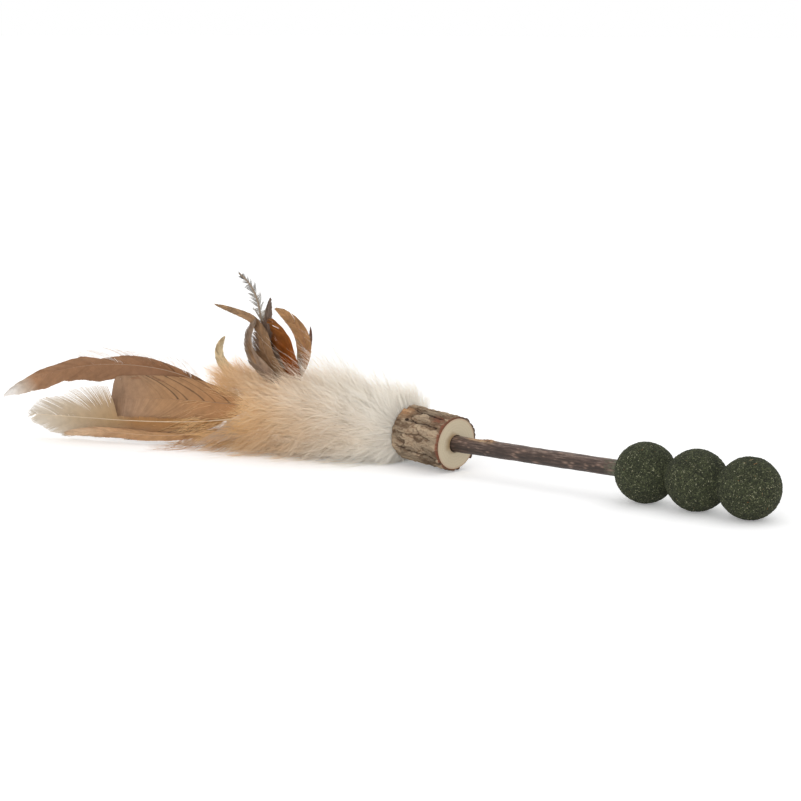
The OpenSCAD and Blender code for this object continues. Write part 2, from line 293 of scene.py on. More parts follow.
@dataclass(frozen=True)
class PressedHerb:
    """Dried leaf, ground and pressed: dark olive and matt, with torn scraps in every shade from straw to black."""

    name: str = "pressed_dried_herb"
    grain_mm: float = 0.42

    def material(self) -> bpy.types.Material:
        """Builds the herb: scraps by cell, with painted shade in the pits and painted light on the crests, and a fine
        torn bump.

        Returns:
            The material.
        """
        material, tree = new_tree(self.name)
        place = add_node(tree, "TexCoord", out="Object")
        warp = add_node(tree, "TexNoise", {"Vector": place, "Scale": 700.0, "Detail": 3.0}, out="Color")
        shift = add_node(tree, "VectorMath", {0: warp, 1: (0.0011, 0.0011, 0.0011)}, operation="MULTIPLY")
        bent = add_node(tree, "VectorMath", {0: place, 1: shift}, operation="ADD")
        cells = add_node(tree, "TexVoronoi", {"Vector": bent, "Scale": 1 / (self.grain_mm * MM)}, out="Color")
        kind = add_node(tree, "SeparateColor", {0: cells})
        scraps = add_node(tree, "ValToRGB", {0: kind}, stops=[
            (0.0, "#24271a"), (1.0, "#9c9a80"), (0.3, "#303426"), (0.6, "#3b3f2a"), (0.86, "#494d35"),
            (0.95, "#5c5f45"), (0.985, "#7c7c62")])
        fine = add_node(tree, "TexNoise", {"Vector": place, "Scale": 2600.0, "Detail": 4.0, "Roughness": 0.7})
        shade = add_node(tree, "MapRange", {0: fine, 1: 0.25, 2: 0.75, 3: 0.62, 4: 1.3})
        # Painted shade and light: darker where the pressed surface sinks, lighter where it rises
        pits = add_node(tree, "Attribute", out="Fac", attribute_name="lift")
        depth = add_node(tree, "MapRange", {0: pits, 1: -1.0, 2: 1.0, 3: 0.6, 4: 1.3})
        both = add_node(tree, "Math", {0: shade, 1: depth}, operation="MULTIPLY")
        colour = add_node(tree, "VectorMath", {0: scraps, "Scale": both}, operation="SCALE")
        bump = add_node(tree, "Bump", {"Height": fine, "Strength": 0.6, "Distance": 0.0003})
        return finished(material, colour, bump, Roughness=0.85, Specular_IOR_Level=0.25)


@dataclass(frozen=True)
class HerbScrap:
    """Loose scraps of stalk and leaf at the surface: straw, pale green and a few rusty brown ones."""

    name: str = "dried_stalk_scrap"

    def material(self) -> bpy.types.Material:
        """Builds the scraps, each with one shade of its own and a streak along it.

        Returns:
            The material.
        """
        material, tree = new_tree(self.name)
        tone = add_node(tree, "Attribute", out="Fac", attribute_name="tone")
        ramp = add_node(tree, "ValToRGB", {0: tone}, stops=[
            (0.0, "#2c3020"), (1.0, "#8a5a30"), (0.44, "#44482f"), (0.68, "#6e7055"), (0.83, "#9b997e"),
            (0.95, "#c6be9a"), (0.97, "#8f6234")])
        place = add_node(tree, "TexCoord", out="Object")
        grain = add_node(tree, "TexNoise", {"Vector": place, "Scale": 3000.0, "Detail": 2.0})
        shade = add_node(tree, "MapRange", {0: grain, 3: 0.75, 4: 1.2})
        colour = add_node(tree, "VectorMath", {0: ramp, "Scale": shade}, operation="SCALE")
        return finished(material, colour, Roughness=0.8, Specular_IOR_Level=0.3)


@dataclass(frozen=True)
class FlakyBark:
    """Dry fruitwood bark: grey weathered plates over brown, with painted shade in the cracks and over the lower half,
    and rust red where it flaked off.
    """

    name: str = "weathered_flaky_bark"

    def material(self) -> bpy.types.Material:
        """Builds the bark from its relief: crack share with its painted shade, height, flaked and tanned shares come
        with the mesh.

        Returns:
            The material.
        """
        material, tree = new_tree(self.name)
        place = add_node(tree, "TexCoord", out="Object")
        shares = {k: add_node(tree, "Attribute", out="Fac", attribute_name=k)
                  for k in ("crack", "height", "rust", "tan", "plate")}
        stretched = add_node(tree, "Mapping", {"Vector": place, "Rotation": (0, math.radians(-LOG_RISE),
                             math.radians(LOG_SKEW)), "Scale": (0.35, 1.0, 1.0)})
        streaks = add_node(tree, "TexNoise", {"Vector": stretched, "Scale": 1500.0, "Detail": 6.0, "Roughness": 0.65})
        broad = add_node(tree, "TexNoise", {"Vector": stretched, "Scale": 280.0, "Detail": 4.0})
        mixed = add_node(tree, "Math", {0: shares["height"], 1: 0.45, 2: broad}, operation="MULTIPLY_ADD")
        levels = add_node(tree, "Math", {0: streaks, 1: 0.5, 2: mixed}, operation="MULTIPLY_ADD")
        base = add_node(tree, "ValToRGB", {0: levels}, stops=[
            (0.44, "#3a281f"), (1.0, "#ad987f"), (0.6, "#624b3a"), (0.73, "#7c644f"), (0.88, "#927a62")])
        # The plate share also carries painted shade over the log's lower half
        plates = add_node(tree, "MapRange", {0: shares["plate"], 1: -1.0, 3: 0.54, 4: 1.14})
        toned = add_node(tree, "VectorMath", {0: base, "Scale": plates}, operation="SCALE")
        rust_factor = add_node(tree, "Math", {0: shares["rust"], 1: streaks}, operation="MULTIPLY")
        rust_share = add_node(tree, "MapRange", {0: rust_factor, 1: 0.12, 2: 0.5})
        rusty = add_node(tree, "Mix", {0: rust_share, 6: toned, 7: "#7d4e3b"}, out=2, data_type="RGBA")
        tanned = add_node(tree, "Mix", {0: shares["tan"], 6: rusty, 7: "#b98e68"}, out=2, data_type="RGBA")
        # Painted shade in the cracks, seams, pit and chip, mixed with the dark rim and lumps
        cracked = add_node(tree, "Mix", {0: shares["crack"], 6: tanned, 7: "#2b1c15"}, out=2, data_type="RGBA")
        bump = add_node(tree, "Bump", {"Height": streaks, "Strength": 0.7, "Distance": 0.00035})
        return finished(material, cracked, bump, Roughness=0.88, Specular_IOR_Level=0.25)


@dataclass(frozen=True)
class SawnSapwood:
    """Sawn end of pale sapwood: cream and matt, with faint rings, pores and a brown stain at the hole."""

    name: str = "sawn_pale_sapwood"
    ring_mm: float = 1.3

    def material(self) -> bpy.types.Material:
        """Builds the wood, with its rings round the log's own axis.

        Returns:
            The material.
        """
        material, tree = new_tree(self.name)
        place = add_node(tree, "TexCoord", out="Object")
        turned = add_node(tree, "Mapping", {"Vector": place, "Rotation": (0, math.radians(-LOG_RISE),
                                                                        math.radians(LOG_SKEW))})
        wobble = add_node(tree, "TexNoise", {"Vector": turned, "Scale": 160.0, "Detail": 2.0})
        rings = add_node(tree, "TexWave", {"Vector": turned, "Scale": math.pi / 10 / (self.ring_mm * MM),
                                           "Distortion": 2.2, "Detail": 2.0, "Detail Scale": 1.0},
                         out="Fac", wave_type="RINGS", rings_direction="X")
        pores = add_node(tree, "TexNoise", {"Vector": turned, "Scale": 2400.0, "Detail": 3.0})
        base = add_node(tree, "ValToRGB", {0: rings}, stops=[(0.0, "#d0c2a8"), (1.0, "#cdbea2")])
        speck = add_node(tree, "MapRange", {0: pores, 1: 0.3, 2: 0.7, 3: 0.9, 4: 1.06})
        wood = add_node(tree, "VectorMath", {0: base, "Scale": speck}, operation="SCALE")
        # The stain soaks out from the hole towards the near side
        off = add_node(tree, "VectorMath", {0: turned, 1: (0.0, 0.0022, -0.0006)}, operation="ADD")
        flat = add_node(tree, "VectorMath", {0: off, 1: (0.0, 1.0, 1.0)}, operation="MULTIPLY")
        away = add_node(tree, "VectorMath", {0: flat}, out="Value", operation="LENGTH")
        ragged = add_node(tree, "Math", {0: wobble, 1: 0.004, 2: away}, operation="MULTIPLY_ADD")
        stain = add_node(tree, "MapRange", {0: ragged, 1: 0.0046, 2: 0.0072, 3: 0.8, 4: 0.0})
        stained = add_node(tree, "Mix", {0: stain, 6: wood, 7: "#8f6f45"}, out=2, data_type="RGBA")
        edge = add_node(tree, "VectorMath", {0: turned, 1: (0.0, 1.0, 1.0)}, operation="MULTIPLY")
        radius = add_node(tree, "VectorMath", {0: edge}, out="Value", operation="LENGTH")
        rim = add_node(tree, "MapRange", {0: radius, 1: 0.0103, 2: 0.0116, 3: 0.0, 4: 0.55})
        rimmed = add_node(tree, "Mix", {0: rim, 6: stained, 7: "#bd957a"}, out=2, data_type="RGBA")
        bump = add_node(tree, "Bump", {"Height": pores, "Strength": 0.25, "Distance": 0.0002})
        return finished(material, rimmed, bump, Roughness=0.75, Specular_IOR_Level=0.3)


@dataclass(frozen=True)
class TwigBark:
    """Smooth young bark: grey brown, streaked along the twig, with pinkish pores and a peeled tan knot."""

    name: str = "young_twig_bark"

    def material(self) -> bpy.types.Material:
        """Builds the bark; the peeled share and the pores come with the mesh.

        Returns:
            The material.
        """
        material, tree = new_tree(self.name)
        place = add_node(tree, "TexCoord", out="Object")
        peel, pore, crease, dust, grey = (add_node(tree, "Attribute", out="Fac", attribute_name=k)
                                          for k in ("peel", "pore", "crease", "dust", "grey"))
        drawn = add_node(tree, "Mapping", {"Vector": place, "Scale": (0.09, 1.0, 1.0)})
        streaks = add_node(tree, "TexNoise", {"Vector": drawn, "Scale": 1500.0, "Detail": 6.0, "Roughness": 0.7})
        patches = add_node(tree, "TexNoise", {"Vector": place, "Scale": 190.0, "Detail": 3.0})
        both = add_node(tree, "Math", {0: patches, 1: 0.25, 2: streaks}, operation="MULTIPLY_ADD")
        # Painted light and shade: the upper side a paler grey and the lower side darker, as the light falls on the
        # twig
        both = add_node(tree, "Math", {0: grey, 1: 0.17, 2: both}, operation="MULTIPLY_ADD")
        base = add_node(tree, "ValToRGB", {0: both}, stops=[
            (0.42, "#231a15"), (0.95, "#9c887a"), (0.58, "#3a2c24"), (0.73, "#54423a")])
        pored = add_node(tree, "Mix", {0: pore, 6: base, 7: "#a98a78"}, out=2, data_type="RGBA")
        tans = add_node(tree, "ValToRGB", {0: streaks}, stops=[
            (0.35, "#7c4f35"), (0.7, "#d8bb90"), (0.5, "#b38c62")])
        peeled = add_node(tree, "Mix", {0: peel, 6: pored, 7: tans}, out=2, data_type="RGBA")
        # Painted shade in the knot's creases and along the low streaks
        creased = add_node(tree, "Mix", {0: crease, 6: peeled, 7: "#1c1512"}, out=2, data_type="RGBA")
        dusted = add_node(tree, "Mix", {0: dust, 6: creased, 7: "#5c604a"}, out=2, data_type="RGBA")
        bump = add_node(tree, "Bump", {"Height": streaks, "Strength": 0.6, "Distance": 0.0003})
        return finished(material, dusted, bump, Roughness=0.55, Specular_IOR_Level=0.42)


@dataclass(frozen=True)
class CuredGlue:
    """Cured wood glue: amber and glossy, cloudy with fine dust."""

    name: str = "cured_wood_glue"

    def material(self) -> bpy.types.Material:
        """Builds the glue with cloudy amber and a soft ripple.

        Returns:
            The material.
        """
        material, tree = new_tree(self.name)
        place = add_node(tree, "TexCoord", out="Object")
        cloud = add_node(tree, "TexNoise", {"Vector": place, "Scale": 600.0, "Detail": 4.0})
        ramp = add_node(tree, "ValToRGB", {0: cloud}, stops=[(0.3, "#a97f3d"), (0.7, "#dcc792")])
        bump = add_node(tree, "Bump", {"Height": cloud, "Strength": 0.4, "Distance": 0.0004})
        return finished(material, ramp, bump, Roughness=0.25, Specular_IOR_Level=0.5, Coat_Weight=0.3)


@dataclass(frozen=True)
class FeatherVane:
    """Keratin barbs hooked into a vane: satin, with a faint sheen, and paler where the barbs part at the edge."""

    name: str
    stops: tuple[tuple[float, str], ...]
    edge: str
    edge_share: float = 0.3
    mottle: float = 0.12
    roughness: float = 0.5

    def material(self) -> bpy.types.Material:
        """Builds the vane: shades from base to tip, one tone a barb, and a paler edge.

        Returns:
            The material.
        """
        material, tree = new_tree(self.name)
        place, across, tone = (add_node(tree, "Attribute", out="Fac", attribute_name=k)
                               for k in ("place", "across", "tone"))
        where = add_node(tree, "TexCoord", out="Object")
        mottles = add_node(tree, "TexNoise", {"Vector": where, "Scale": 330.0, "Detail": 5.0, "Roughness": 0.6})
        first, *between, last = sorted(self.stops)
        ramp = add_node(tree, "ValToRGB", {0: place}, stops=[first, last, *between])
        outward = add_node(tree, "Math", {0: across, 1: 2.0}, operation="POWER")
        edge = add_node(tree, "Math", {0: outward, 1: self.edge_share}, operation="MULTIPLY")
        edged = add_node(tree, "Mix", {0: edge, 6: ramp, 7: self.edge}, out=2, data_type="RGBA")
        shade = add_node(tree, "MapRange", {0: mottles, 1: 0.3, 2: 0.7, 3: 1 - self.mottle, 4: 1 + self.mottle})
        # A barb's tone: its own random shade and the painted shade of the dark bars
        barb = add_node(tree, "Math", {0: tone, 1: 0.16, 2: shade}, operation="MULTIPLY_ADD")
        colour = add_node(tree, "VectorMath", {0: edged, "Scale": barb}, operation="SCALE")
        return finished(material, colour, Roughness=self.roughness, Specular_IOR_Level=0.25)


@dataclass(frozen=True)
class FeatherRachis:
    """The feather's hollow shaft: horn-like keratin, smooth and a little glossy."""

    name: str
    colour: str

    def material(self) -> bpy.types.Material:
        """Builds the horn, paler and darker in long drifts.

        Returns:
            The material.
        """
        material, tree = new_tree(self.name)
        place = add_node(tree, "TexCoord", out="Object")
        drift = add_node(tree, "TexNoise", {"Vector": place, "Scale": 120.0, "Detail": 2.0})
        shade = add_node(tree, "MapRange", {0: drift, 3: 0.8, 4: 1.15})
        colour = add_node(tree, "VectorMath", {0: linear(self.colour)[:3], "Scale": shade}, operation="SCALE")
        return finished(material, colour, Roughness=0.35, Specular_IOR_Level=0.5)


@dataclass(frozen=True)
class LooseDown:
    """Down: loose barbs that scatter the light, so they look soft and white, gold where the plume is stained."""

    name: str = "loose_chicken_down"
    white: str = "#fdf8ee"
    gold: str = "#ecc38a"

    def material(self) -> bpy.types.Material:
        """Builds the down; the share of gold and the tone of each tuft come with the mesh.

        Returns:
            The material.
        """
        material, tree = new_tree(self.name)
        gold, tone, run = (add_node(tree, "Attribute", out="Fac", attribute_name=k)
                           for k in ("gold", "tone", "run"))
        base = add_node(tree, "Mix", {0: gold, 6: self.white, 7: self.gold}, out=2, data_type="RGBA")
        lift = add_node(tree, "MapRange", {0: run, 3: 0.92, 4: 1.03})
        shade = add_node(tree, "Math", {0: tone, 1: 0.11, 2: lift}, operation="MULTIPLY_ADD")
        colour = add_node(tree, "VectorMath", {0: base, "Scale": shade}, operation="SCALE")
        return finished(material, colour, Roughness=0.75, Specular_IOR_Level=0.2, Sheen_Weight=0.3)


@dataclass(frozen=True)
class PaleFloor:
    """Matt white sweep, lifted to white for the camera alone, so that only the soft shadow shows on it."""

    name: str = "matt_white_sweep"
    lift: float = 0.22

    def material(self) -> bpy.types.Material:
        """Builds the floor: white for the camera and in reflections, a plain pale grey for the light.

        Returns:
            The material.
        """
        material, tree = new_tree(self.name)
        looks = seen(tree)
        colour = add_node(tree, "Mix", {0: looks, 6: "#f8f8f8", 7: "#ffffff"}, out=2, data_type="RGBA")
        matt = add_node(tree, "BsdfDiffuse", {"Color": colour})
        strength = add_node(tree, "Math", {0: looks, 1: self.lift}, operation="MULTIPLY")
        glow = add_node(tree, "Emission", {"Color": "#ffffff", "Strength": strength})
        both = add_node(tree, "AddShader", {0: matt, 1: glow})
        add_node(tree, "OutputMaterial", {"Surface": both})
        return material


@dataclass(frozen=True)
class Strands:
    """Many closed thin strands of one template, each laid along a line of its own."""

    sides: int
    segments: int

    def template(self) -> bpy.types.Mesh:
        """Extrudes one capped ring into a strand of unit radius and one unit a segment.

        Returns:
            The strand's mesh.
        """
        bm = bmesh.new()
        bmesh.ops.create_circle(bm, cap_ends=True, segments=self.sides, radius=1.0)
        end = bm.faces[:]
        for _ in range(self.segments):
            grown = bmesh.ops.extrude_face_region(bm, geom=end)["geom"]
            end = [g for g in grown if isinstance(g, bmesh.types.BMFace)]
            verts = [g for g in grown if isinstance(g, bmesh.types.BMVert)]
            bmesh.ops.translate(bm, vec=(0, 0, 1), verts=verts)
        bmesh.ops.recalc_face_normals(bm, faces=bm.faces[:])
        return mesh_of("strand", bm)

    def copies(self, count: int) -> bpy.types.Mesh:
        """Copies the template with an Array modifier.

        Args:
            count: Number of strands.

        Returns:
            One mesh with all the copies in order.
        """
        source = linked("strand", self.template())
        array = source.modifiers.new("copies", "ARRAY")
        array.count = count
        array.use_relative_offset = False
        array.use_constant_offset = True
        array.constant_offset_displace = (0, 0, 0)
        result = bpy.data.meshes.new_from_object(source.evaluated_get(bpy.context.evaluated_depsgraph_get()))
        bpy.data.objects.remove(source)
        return result

    def laid(self, name: str, lines: Lines, wide: Lines, thick: Lines, **shares: Lines) -> bpy.types.Object:
        """Lays strands along lines.

        Args:
            name: Name of the piece.
            lines: Points of each line, in millimetres: strands, segments + 1, 3.
            wide: Half width of the strand at each point, as a vector.
            thick: Half thickness of the strand at each point, as a vector.
            shares: Values for the material, per strand or per point.

        Returns:
            The piece.
        """
        count = len(lines)
        handed = np.sign((np.cross(wide, thick) * np.gradient(lines, axis=1)).sum((1, 2)))
        thick = thick * np.where(handed == 0, 1, handed)[:, None, None]
        mesh = self.copies(count)
        flat = np.empty(len(mesh.vertices) * 3, np.float32)
        mesh.vertices.foreach_get("co", flat)
        ring_x, ring_y, ring = flat.reshape(count, -1, 3)[0].T
        ring = np.rint(ring).astype(int)
        places = (lines[:, ring] + wide[:, ring] * ring_x[None, :, None] + thick[:, ring] * ring_y[None, :, None])
        mesh.vertices.foreach_set("co", (places * MM).astype(np.float32).ravel())
        return piece_of(mesh, name, self.sides > 5, **{
            key: value[:, ring] if value.ndim == 2 else np.repeat(value[:, None], len(ring), 1)
            for key, value in shares.items()})


def dressed(piece: bpy.types.Object, material: bpy.types.Material, slot: str, *nodes: str) -> bpy.types.Object:
    """Gives a piece its material and its body, and hides the CAD nodes it stands for.

    Args:
        piece: The piece.
        material: Its material.
        slot: The record's slot; not used.
        nodes: CAD nodes that the piece stands for.

    Returns:
        The piece.
    """
    if not piece.data.materials:
        piece.data.materials.append(material)
    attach(piece, "root")
    if nodes:
        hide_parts(*nodes)
    return piece


def joined(pieces: list[bpy.types.Object]) -> bpy.types.Object:
    """Joins pieces into the first one, with their materials.

    Args:
        pieces: The pieces.

    Returns:
        The first piece.
    """
    with bpy.context.temp_override(active_object=pieces[0], object=pieces[0], selected_objects=pieces,
                                   selected_editable_objects=pieces):
        bpy.ops.object.join()
    return pieces[0]


@dataclass(frozen=True)
class Sleeve:
    """A fine tube along X, rolled from a grid, whose skin is then raised and sunk."""

    length: float
    rings: int
    sides: int

    def rolled(self) -> tuple[bmesh.types.BMesh, Lines, Lines]:
        """Rolls the grid.

        Returns:
            The mesh, and each vertex's distance along the tube and its angle round it.
        """
        bm = bmesh.new()
        bmesh.ops.create_grid(bm, x_segments=self.rings, y_segments=self.sides, size=0.5)
        for vert in bm.verts:
            run, angle = (vert.co.x + 0.5) * self.length, (vert.co.y + 0.5) * math.tau
            vert.co = (run, math.cos(angle), math.sin(angle))
        bmesh.ops.remove_doubles(bm, verts=bm.verts[:], dist=1e-5)
        run = np.array([v.co.x for v in bm.verts])
        angle = np.array([math.atan2(v.co.z, v.co.y) for v in bm.verts]) % math.tau
        return bm, run, angle


def fractal(points: Lines, octaves: int) -> Lines:
    """Sums octaves of smooth noise at places in units of the largest swell, to about -1 to 1."""
    return np.array([noise.fractal(Vector(p), 0.9, 2.1, octaves) for p in points])


def crack_share(run: Lines, angle: Lines, radius: float, path: list[tuple[float, float]], width: float) -> Lines:
    """Gives how deep each place lies in a crack.

    Args:
        run: Distance along the log, in millimetres.
        angle: Angle round the log, in radians.
        radius: Radius of the surface.
        path: The crack's points, as distance along and degrees round.
        width: The crack's half width in millimetres.

    Returns:
        Shares from 0 to 1.
    """
    best = np.full(run.shape, 1e3)
    for (x0, a0), (x1, a1) in zip(path, path[1:]):
        ax, ay, bx, by = x0, math.radians(a0) * radius, x1, math.radians(a1) * radius
        px, py = run - ax, angle * radius - ay
        t = np.clip((px * (bx - ax) + py * (by - ay)) / ((bx - ax) ** 2 + (by - ay) ** 2), 0, 1)
        best = np.minimum(best, np.hypot(px - t * (bx - ax), py - t * (by - ay)))
    return np.exp(-(best / width) ** 2)


@dataclass
class HerbBalls:
    """Three balls of ground herb, pressed on the twig until they meet in flats."""

    radius: float = 13.0
    flat_d: float = 7.2
    stick_open: float = 87.4
    stick_r: float = 3.65
    count: int = 3
    relief: float = 0.22
    sunk: float = 0.1
    detail: int = 7
    waists: tuple[float, float] = (6.2, 6.8)
    scraps: int = 900
    seed: int = 11
    pitch: float = field(init=False)
    first_x: float = field(init=False)

    def __post_init__(self) -> None:
        """Works out where the balls sit on the twig."""
        self.pitch = math.sqrt((2 * self.radius) ** 2 - self.flat_d ** 2)
        self.first_x = self.stick_open + math.sqrt(self.radius ** 2 - self.stick_r ** 2)

    def lift(self, ways: Lines, number: int) -> Lines:
        """Gives the height of the pressed surface.

        Args:
            ways: Directions from the ball's middle.
            number: The ball's number.

        Returns:
            Heights of about -1 to 1.
        """
        swell = fractal(ways * 2.3 + 17 * number, 3) * 0.55
        crumbs = np.array([noise.cell(Vector(w) * 13 + Vector((number * 9, 0, 0))) for w in ways
                           + fractal(ways * 9 + number, 2)[:, None] * 0.06]) - 0.5
        torn = fractal(ways * 16 + 31 * number, 3)
        return np.clip(swell + 0.5 * crumbs + 0.55 * torn, -1.3, 1.3)

    def ball(self, number: int) -> bpy.types.Object:
        """Builds one ball.

        Args:
            number: 1 for the ball nearest the log.

        Returns:
            The ball's piece.
        """
        bm = bmesh.new()
        bmesh.ops.create_icosphere(bm, subdivisions=self.detail, radius=1.0)
        ways = unit(np.array([v.co for v in bm.verts]))
        lift = self.lift(ways, number)
        places = ways * (self.radius - self.sunk + self.relief * lift)[:, None]
        # Pressed herb fills the groove where two balls meet
        half, off = self.pitch / 2, np.maximum(np.hypot(places[:, 1], places[:, 2]), 1e-6)
        for other in (number - 1, number + 1):
            if 0 < other <= self.count:
                towards, waist = other - number, self.waists[min(number, other) - 1] + 0.3 * lift
                filled, grown = towards * places[:, 0] > 0, (off ** 6 + waist ** 6) ** (1 / 6)
                places[filled, 1:] *= np.minimum(grown / off, 2 * grown / self.flat_d)[filled, None]
                places[:, 0] = towards * np.minimum(towards * places[:, 0], half)
        places[:, 0] += self.first_x + (number - 1) * self.pitch
        places[:, 2] = np.maximum(places[:, 2], -self.radius)
        mesh = mesh_of(f"herb_ball_{number}", bm)
        mesh.vertices.foreach_set("co", (places * MM).astype(np.float32).ravel())
        return piece_of(mesh, mesh.name, lift=lift)

    def scraps_on(self, number: int) -> bpy.types.Object:
        """Lays scraps of stalk and leaf on one ball.

        Args:
            number: 1 for the ball nearest the log.

        Returns:
            The scraps' piece.
        """
        rng = np.random.default_rng(self.seed + number)
        ways = unit(rng.normal(size=(self.scraps, 3)))
        half = self.pitch / 2 / self.radius
        keep = (ways[:, 0] > -half if number > 1 else ways[:, 0] > -0.93)
        keep &= ways[:, 0] < half if number < self.count else True
        ways = ways[keep & (ways[:, 2] > -0.97)]
        n = len(ways)
        lie = unit(np.cross(ways, rng.normal(size=(n, 3))))
        size = rng.random(n)
        length = 0.2 + 1.1 * size ** 4 + 0.9 * (size > 0.985)
        run = np.linspace(-1, 1, 3)[None, :, None] * length[:, None, None]
        middle = np.array([self.first_x + (number - 1) * self.pitch, 0, 0])
        height = self.radius - self.sunk + self.relief * self.lift(ways, number) + 0.02
        bent = unit(ways[:, None] * self.radius + lie[:, None] * run)
        lines = middle + bent * height[:, None, None]
        side = np.cross(lie, ways)
        taper = np.array([0.5, 1.0, 0.35])[None, :, None]
        wide = side[:, None] * (0.05 + 0.08 * rng.random(n))[:, None, None] * taper
        thick = np.repeat(ways[:, None], 3, 1) * 0.05 * taper
        return Strands(4, 2).laid(f"herb_scraps_{number}", lines, wide, thick, tone=rng.random(n))

    def build(self) -> None:
        """Builds and dresses all the balls."""
        herb, scrap = PressedHerb().material(), HerbScrap().material()
        for number in range(1, self.count + 1):
            dressed(self.ball(number), herb, "herb", f"ball_{number}")
            dressed(self.scraps_on(number), scrap, "herb")


@dataclass
class Twig:
    """The bare twig with its bark, pores and peeled knot."""

    radius: float = 3.65
    in_log: float = 18.0
    end_x: float = 155.8
    knot_at: float = 16.0
    knot_len: float = 15.0
    knot_rise: float = 0.9
    rings: int = 420
    sides: int = 64
    pores: int = 90
    seed: int = 5

    def build(self) -> None:
        """Builds the twig: a fine tube with streaks, a swollen knot and scattered pores."""
        length = self.in_log + self.end_x
        bm, run, angle = Sleeve(length, self.rings, self.sides).rolled()
        x = run - self.in_log
        skin = tube(x, angle, self.radius)
        streak = fractal(skin * (0.08, 0.8, 0.8), 3)
        bumps = fractal(skin * (0.12, 0.12, 0.12) + 40, 2)
        over = np.exp(-((angle - math.radians(95)) / 0.42) ** 2)
        knot = np.exp(-((x - self.knot_at - 2.5) / (self.knot_len * 0.22)) ** 2) * over
        scar = np.exp(-((x - self.knot_at + 4.5) / 4.4) ** 4) * np.exp(-((angle - math.radians(103)) / 0.3) ** 2)
        rough = fractal(skin * 0.9 + 9, 3)
        rng = np.random.default_rng(self.seed)
        pore = np.zeros_like(x)
        for px, pa, long in zip(rng.random(self.pores) * 90, rng.random(self.pores) * math.tau,
                                0.5 + rng.random(self.pores)):
            across = turn_from(angle, pa) * self.radius
            pore = np.maximum(pore, np.exp(-((x - px) / long) ** 2 - (across / (0.32 * long)) ** 2))
        radius = (self.radius - 0.06 + 0.1 * streak + 0.12 * bumps + 0.06 * pore
                  + self.knot_rise * knot * (0.85 + 0.35 * rough) - 0.12 * scar)
        for vert, place in zip(bm.verts, tube(x, angle, radius)):
            vert.co = place * MM
        bmesh.ops.holes_fill(bm, edges=bm.edges[:], sides=0)
        bmesh.ops.recalc_face_normals(bm, faces=bm.faces[:])
        peel = np.clip(1.5 * knot * (0.75 + 0.6 * rough) + 1.2 * scar * (0.8 + 0.5 * rough), 0, 1)
        # Painted shade: the crease share darkens the knot's low parts and the sunk streaks
        crease = np.clip(knot * 1.8 * (-rough - 0.15), 0, 0.8) + eased(-streak, 0.5, 0.9) * 0.35
        dust = np.clip(eased(x, 79, 88) * (0.6 + 1.5 * rough), 0, 0.8)
        # Painted light and shade: paler on the upper side, darker on the lower side
        grey = eased(np.sin(angle), -0.3, 1.0) - 0.35
        piece = piece_of(mesh_of("twig_with_knot", bm), "twig_with_knot", peel=peel, pore=pore * 0.6,
                         crease=crease, dust=dust, grey=grey)
        dressed(piece, TwigBark().material(), "twig", "stick")


@dataclass(frozen=True)
class Relief:
    """The bark's surface at every point: its radius, and the shares that shape and colour it."""

    plate: Lines
    steps: Lines
    swell: Lines
    grain: Lines
    hairline: Lines
    crack: Lines
    seam: Lines
    pit: Lines
    chip: Lines
    right: Lines
    lump: Lines
    height: Lines
    radius: Lines


